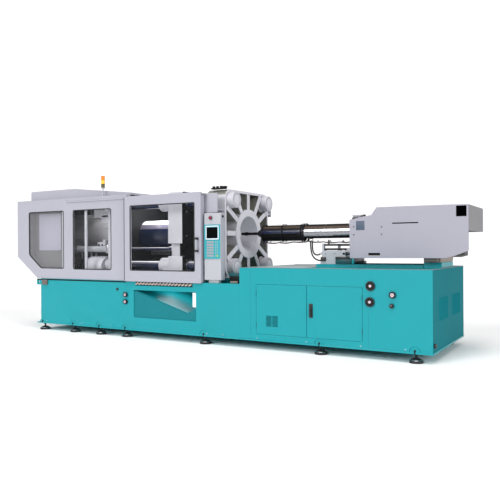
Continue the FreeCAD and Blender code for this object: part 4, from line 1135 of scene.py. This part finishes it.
# ---- operator's side ----------------------------------------------------------------------
class MOULDING_OT_controls(bpy.types.Operator):
    """Control box with its film panel, screen, keys and emergency stop"""
    bl_idname = "moulding.controls"
    bl_label = "Controls"

    def execute(self, context):
        recast("control_box", "white", 0.003,
               faces=(("box_side", lambda c, n: n.x > 0.9 and c.x > 0.55),))
        recast("control_panel", "panel", 0.0015)
        recast("estop_button", "red", 0.003)
        front = PANEL_HI.y - 0.006
        bm = bmesh.new()
        border(bm, [(0.298, front - 0.0083, 1.626), (0.298, front - 0.0083, 1.839),
                    (0.541, front - 0.0083, 1.839), (0.541, front - 0.0083, 1.626)], 0.0165,
               (0, -0.001, 0), 0.008)
        piece("screen_bezel", bm, "bezel")
        blocks("screen_glass", "screen",
               ((0.3152, front - 0.0045, 1.6452), (0.5188, front - 0.0022, 1.8138), 0.0008))
        self.keys(front)
        self.fittings(front)
        return {"FINISHED"}

    def keys(self, front):
        """Membrane keys: a wide block of three columns and a narrow one beside it."""
        pale, dark, bright = bmesh.new(), bmesh.new(), bmesh.new()
        rows = sizes().key_rows
        pitch = 0.231 / max(1, rows - 0.5)
        for row in range(rows):
            z = 1.585 - row * pitch
            for column in range(3):
                x = 0.316 + column * 0.043
                block(pale, (x, front - 0.0022, z - 0.015),
                      (x + 0.036, front - 0.0002, z + 0.015), 0.0016)
            last = row == rows - 1
            block(dark, (0.466, front - 0.0022, z - 0.015), (0.49, front - 0.0002, z + 0.015), 0.0016)
            block(bright if last else dark, (0.498, front - 0.0022, z - 0.015),
                  (0.522, front - 0.0002, z + 0.015), 0.0016)
        piece("keys_pale", pale, "key")
        piece("keys_grey", dark, "key_teal")
        piece("keys_start", bright, "start_key")

    def fittings(self, front):
        """Collar of the emergency stop, a socket on the side, the fold line and the screws."""
        x, z = 0.391, 1.96
        bm = bmesh.new()
        lathe(bm, (x, BOX_LO.y, z), -Y,
              [(0.03, 0), (0.03, 0.003), (0.022, 0.004), (0.022, 0.0145), (0.0105, 0.0145)], 40)
        piece("stop_collar", bm, "black")
        bm = bmesh.new()
        side = BOX_HI.x
        lathe(bm, (side, -0.905, 1.98), X, [(0.02, 0), (0.02, 0.008), (0.014, 0.01),
                                            (0.014, 0.018), (0, 0.02)], 24)
        piece("box_sockets", bm, "black")
        blocks("box_seam", "joint", ((0.2625, -0.9588, 1.318), (side - 0.001, -0.9575, 1.3205)))
        bm = bmesh.new()
        bolts(bm, (0.277, side - 0.015), -0.958, (1.02, 1.3, 2.015), -Y, 0.005)
        piece("box_screws", bm, "zinc")


class MOULDING_OT_tower(bpy.types.Operator):
    """Signal tower on the guard"""
    bl_idname = "moulding.tower"
    bl_label = "Signal tower"

    def execute(self, context):
        recast("signal_pole", "white", 0.001)
        for colour in ("green", "amber", "red"):
            recast("signal_lens_" + colour, colour + "_lens", 0.002)
        low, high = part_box("signal_lens_green")
        x, y = (low.x + high.x) / 2, (low.y + high.y) / 2
        bm = bmesh.new()
        for level in range(3):
            lathe(bm, (x, y, 2.56 + 0.066 * level + 0.0605), Z,
                  [(0.0, 0.0), (0.0328, 0.0), (0.0328, 0.004), (0.0, 0.005)], 32)
        piece("lens_bands", bm, "black")
        return {"FINISHED"}


# ---- injection unit -----------------------------------------------------------------------
class MOULDING_OT_barrel(bpy.types.Operator):
    """Barrel, its perforated cover, bright shield and nozzle end"""
    bl_idname = "moulding.barrel"
    bl_label = "Barrel"

    def execute(self, context):
        recast("barrel", "black_steel", 0.001)
        # Painted reflections: a bronze band and a navy band on the heater cover, a bronze band on the
        # shield.
        recast("barrel_cover", "black_paint_and_shade", 0.001,
               faces=(("bronze", lambda c, n: 0.55 < n.z < 0.8),
                      ("chrome_navy", lambda c, n: -0.05 < n.z < 0.35)))
        recast("barrel_guard", "black_paint_and_shade", 0.0008,
               faces=(("bronze", lambda c, n: 0.45 < n.z < 0.75),))
        recast("screw", "steel", 0.001)
        self.perforation()
        self.bands()
        return {"FINISHED"}

    def perforation(self):
        """Black discs in a staggered grid all round the heater cover, painted shade that stands for its
        round holes.
        """
        bm = bmesh.new()
        radius = (BARREL_HI.z - BARREL_LO.z) / 2
        rows, pitch = 16, 0.026
        count = int((BARREL_HI.x - BARREL_LO.x - 0.1) / pitch)
        for row in range(rows):
            a = math.tau * (row + 0.5) / rows
            out = Vector((0, math.cos(a), math.sin(a)))
            centre = Vector((BARREL_LO.x + 0.06, 0, AXIS_Z))
            for k in range(count):
                at = centre + X * (k + 0.5 * (row % 2)) * pitch + out * (radius + 0.0004)
                bmesh.ops.create_circle(bm, cap_ends=True, segments=6, radius=0.0075,
                                        matrix=Matrix.Translation(at) @ towards(out))
        piece("cover_holes", bm, "void", "carriage")

    def bands(self):
        """Bands of the cover, the bright strips of the shield, its flange and the nozzle heaters."""
        bm = bmesh.new()
        radius = (BARREL_HI.z - BARREL_LO.z) / 2
        for x in (BARREL_LO.x + 0.012, 1.165, BARREL_HI.x - 0.034):
            lathe(bm, (x, 0, AXIS_Z), X, [(radius, 0), (radius + 0.003, 0.001),
                                          (radius + 0.003, 0.021), (radius, 0.022)], 48)
        piece("cover_bands", bm, "black_steel", "carriage")
        bm = bmesh.new()
        start = math.radians(-24)
        around = Vector((0, -math.cos(start), math.sin(start)))
        verts = [bm.verts.new(Vector((x, 0, AXIS_Z)) + around * (radius + 0.0005))
                 for x in (SHIELD_LO.x + 0.045, SHIELD_HI.x - 0.002)]
        edge = bm.edges.new(verts)
        bmesh.ops.spin(bm, geom=verts + [edge], cent=(0, 0, AXIS_Z), axis=-X,
                       angle=math.radians(44), steps=20)
        bmesh.ops.solidify(bm, geom=bm.faces[:], thickness=-0.0015)
        mirrored(bm)
        piece("shield_strips", bm, "aluminium", "carriage")
        bm = bmesh.new()
        lathe(bm, (SHIELD_LO.x, 0, AXIS_Z), X, [(radius, 0), (radius + 0.005, 0.002),
                                                (radius + 0.005, 0.038), (radius, 0.04)], 48)
        piece("shield_flange", bm, "black_steel", "carriage")
        bm = bmesh.new()
        for x in (SHIELD_LO.x + 0.06, (SHIELD_LO.x + SHIELD_HI.x) / 2, SHIELD_HI.x - 0.03):
            for a in (-4, 48, 132, 184):
                out = Vector((0, -math.cos(math.radians(a)), math.sin(math.radians(a))))
                bolt(bm, Vector((x, 0, AXIS_Z)) + out * (radius + 0.001), out, 0.005)
        piece("shield_screws", bm, "zinc", "carriage")
        bm = bmesh.new()
        for k in range(3):
            x = 0.7 + 0.03 * k
            lathe(bm, (x, 0, AXIS_Z), X, [(0.046, 0), (0.05, 0.002), (0.05, 0.02), (0.046, 0.022)], 32)
        piece("nozzle_heaters", bm, "black_steel", "carriage")


class MOULDING_OT_carriage(bpy.types.Operator):
    """Carriage casting, its cylinders and the screw drive"""
    bl_idname = "moulding.carriage"
    bl_label = "Carriage"

    def execute(self, context):
        recast("carriage", "white", 0.005,
               faces=(("teal", lambda c, n: c.z < 1.275 and c.x < 2.5 and c.y < 0),))
        recast("carriage_support", "tan", 0.003,
               faces=(("teal", lambda c, n: c.z < 1.279),))
        recast("carriage_cylinders", "oiled", 0.003)
        recast("carriage_rods", "black_steel", 0.001)
        recast("slide_rails", "steel", 0.001,
               faces=(("teal", lambda c, n: c.x > 1.8 and n.z < 0.5),
                      ("dark_teal", lambda c, n: c.x > 1.8 and n.z > 0.5)))
        recast("injection_drive", "oiled", 0.004)
        recast("feed_throat", "white", 0.003)
        recast("throat_shutter", "black_steel", 0.001)
        blocks("carriage_blocks", "black",
               ((1.962, -0.372, 1.29), (2.04, -0.348, 1.352), 0.004),
               ((2.2, -0.376, 1.318), (2.452, -0.345, 1.356), 0.003), body="carriage")
        blocks("carriage_skirts", "dark_teal",
               ((2.2, -0.374, 1.252), (2.45, -0.352, 1.318), 0.003), body="carriage")
        blocks("carriage_stops", "teal",
               ((2.454, -0.372, 1.252), (2.49, -0.33, 1.33), 0.004), body="carriage")
        bm = bmesh.new()
        bolts(bm, (2.02, 2.34), (-0.3, 0.3), 1.448, Z, 0.013)
        bolts(bm, (2.03, 2.18), -0.35, 1.4, -Y, 0.006)
        bolts(bm, (2.03, 2.18), 0.35, 1.4, Y, 0.006)
        for y in (-1, 1):
            bolt(bm, (2.372, y * 0.47, 1.402), y * Y, 0.016)
        bolts(bm, (2.46, 2.72, 2.98, 3.24, 3.5), -0.375, 1.396, -Y, 0.009)
        bolts(bm, (2.46, 2.72, 2.98, 3.24, 3.5), 0.375, 1.396, Y, 0.009)
        piece("carriage_bolts", bm, "black_steel", "carriage")
        return {"FINISHED"}


class MOULDING_OT_cover(bpy.types.Operator):
    """Sheet-metal cover over the screw drive"""
    bl_idname = "moulding.cover"
    bl_label = "Injection cover"

    def execute(self, context):
        # The cover's end face is painted a darker grey as shade.
        recast("injection_cover", "cover", 0.006,
               faces=(("cover_end", lambda c, n: n.x > 0.9 and c.x > 3.9 and c.z > 1.7),))
        side = COVER_LO.y
        blocks("cover_plate", "plate",
               ((2.585, side - 0.002, 1.735), (2.71, side + 0.001, 1.865), 0.001), body="carriage")
        bm = bmesh.new()
        for x, z in ((2.552, 1.784), (2.552, 1.67), (2.959, 1.774), (2.958, 1.672)):
            bolt(bm, (x, side, z), -Y, 0.008)
        mirrored(bm)
        piece("cover_bolts", bm, "black_steel", "carriage")
        blocks("cover_badge_plate", "void",
               ((3.954, side - 0.0018, 1.887), (4.084, side + 0.001, 2.027), 0.001),
               body="carriage", slot="black_plastic")
        # Black backs of the slots in the cover: painted shade inside the slots.
        bm = bmesh.new()
        block(bm, (3.105, side + 0.004, 1.812), (3.463, side + 0.01, 1.828))
        for s in (-1, 1):
            y0, y1 = sorted((s * (abs(side) - 0.004), s * (abs(side) - 0.01)))
            block(bm, (2.764, y0, 1.392), (2.933, y1, 1.412))
        piece("slot_backs", bm, "void", "carriage")
        bm = bmesh.new()
        for s in (-1, 1):
            y0, y1 = sorted((s * (abs(side) - 0.003), s * (abs(side) - 0.009)))
            block(bm, (2.764, y0, 1.371), (2.933, y1, 1.382))
        piece("slot_shelves", bm, "tan", "carriage")
        blocks("cover_seams", "joint",
               ((2.884, -0.538, 2.0435), (2.8864, 0.538, 2.0497)), body="carriage")
        blocks("throat_fittings", "black",
               ((2.52, -0.045, 1.9), (2.61, 0.045, 1.96), 0.006),
               ((2.5, -0.03, 1.962), (2.53, 0.03, 1.985), 0.004), body="carriage")
        return {"FINISHED"}


class MOULDING_OT_valves(bpy.types.Operator):
    """Hydraulic valves and connectors on top of the stationary platen"""
    bl_idname = "moulding.valves"
    bl_label = "Valves"

    def execute(self, context):
        bm = bmesh.new()
        block(bm, (0.215, -0.7, 2.43), (0.465, -0.61, 2.45), 0.004)
        for x in (0.245, 0.315, 0.385):
            post(bm, (x, -0.655, 2.45), Z, 0.03, 0.024, 0.004, 20)
        block(bm, (0.415, -0.69, 2.45), (0.48, -0.62, 2.474), 0.004)
        piece("platen_valves", bm, "black_paint_and_shade")
        blocks("oiler_lid", "dark_teal", ((0.65, -0.86, 1.06), (0.885, -0.74, 1.112), 0.008))
        blocks("oiler_case", "black_paint_and_shade",
               ((0.655, -0.855, 0.99), (0.88, -0.745, 1.061), 0.006),
               ((0.8, -0.85, 0.953), (0.878, -0.75, 0.992), 0.004))
        blocks("oiler_cap", "tan", ((0.664, -0.85, 0.953), (0.798, -0.75, 0.989), 0.008))
        return {"FINISHED"}


# ---- panel and registration ---------------------------------------------------------------
OPERATORS = (MOULDING_OT_stage, MOULDING_OT_hoses, MOULDING_OT_base, MOULDING_OT_water,
             MOULDING_OT_cabinet, MOULDING_OT_clamp, MOULDING_OT_guards, MOULDING_OT_gates,
             MOULDING_OT_controls, MOULDING_OT_tower, MOULDING_OT_valves, MOULDING_OT_barrel,
             MOULDING_OT_carriage, MOULDING_OT_cover)


class MOULDING_PT_panel(bpy.types.Panel):
    """Lists the sizes, the colours and every group of pieces"""
    bl_idname = "MOULDING_PT_panel"
    bl_label = "Injection Moulding Machine"
    bl_space_type = "VIEW_3D"
    bl_region_type = "UI"
    bl_category = "Moulding"

    def draw(self, context):
        layout = self.layout
        for settings in (context.scene.moulding_sizes, context.scene.moulding_colours):
            for name in settings.__annotations__:
                layout.prop(settings, name)
        for operator in OPERATORS:
            layout.operator(operator.bl_idname)


CLASSES = (MouldingSizes, MouldingColours, *OPERATORS, MOULDING_PT_panel)


def register():
    for kind in CLASSES:
        bpy.utils.register_class(kind)
    bpy.types.Scene.moulding_sizes = PointerProperty(type=MouldingSizes)
    bpy.types.Scene.moulding_colours = PointerProperty(type=MouldingColours)


def unregister():
    del bpy.types.Scene.moulding_colours
    del bpy.types.Scene.moulding_sizes
    for kind in reversed(CLASSES):
        bpy.utils.unregister_class(kind)


def main():
    register()
    for operator in OPERATORS:
        group, name = operator.bl_idname.split(".")
        getattr(getattr(bpy.ops, group), name)()


if __name__ == "__main__":
    main()
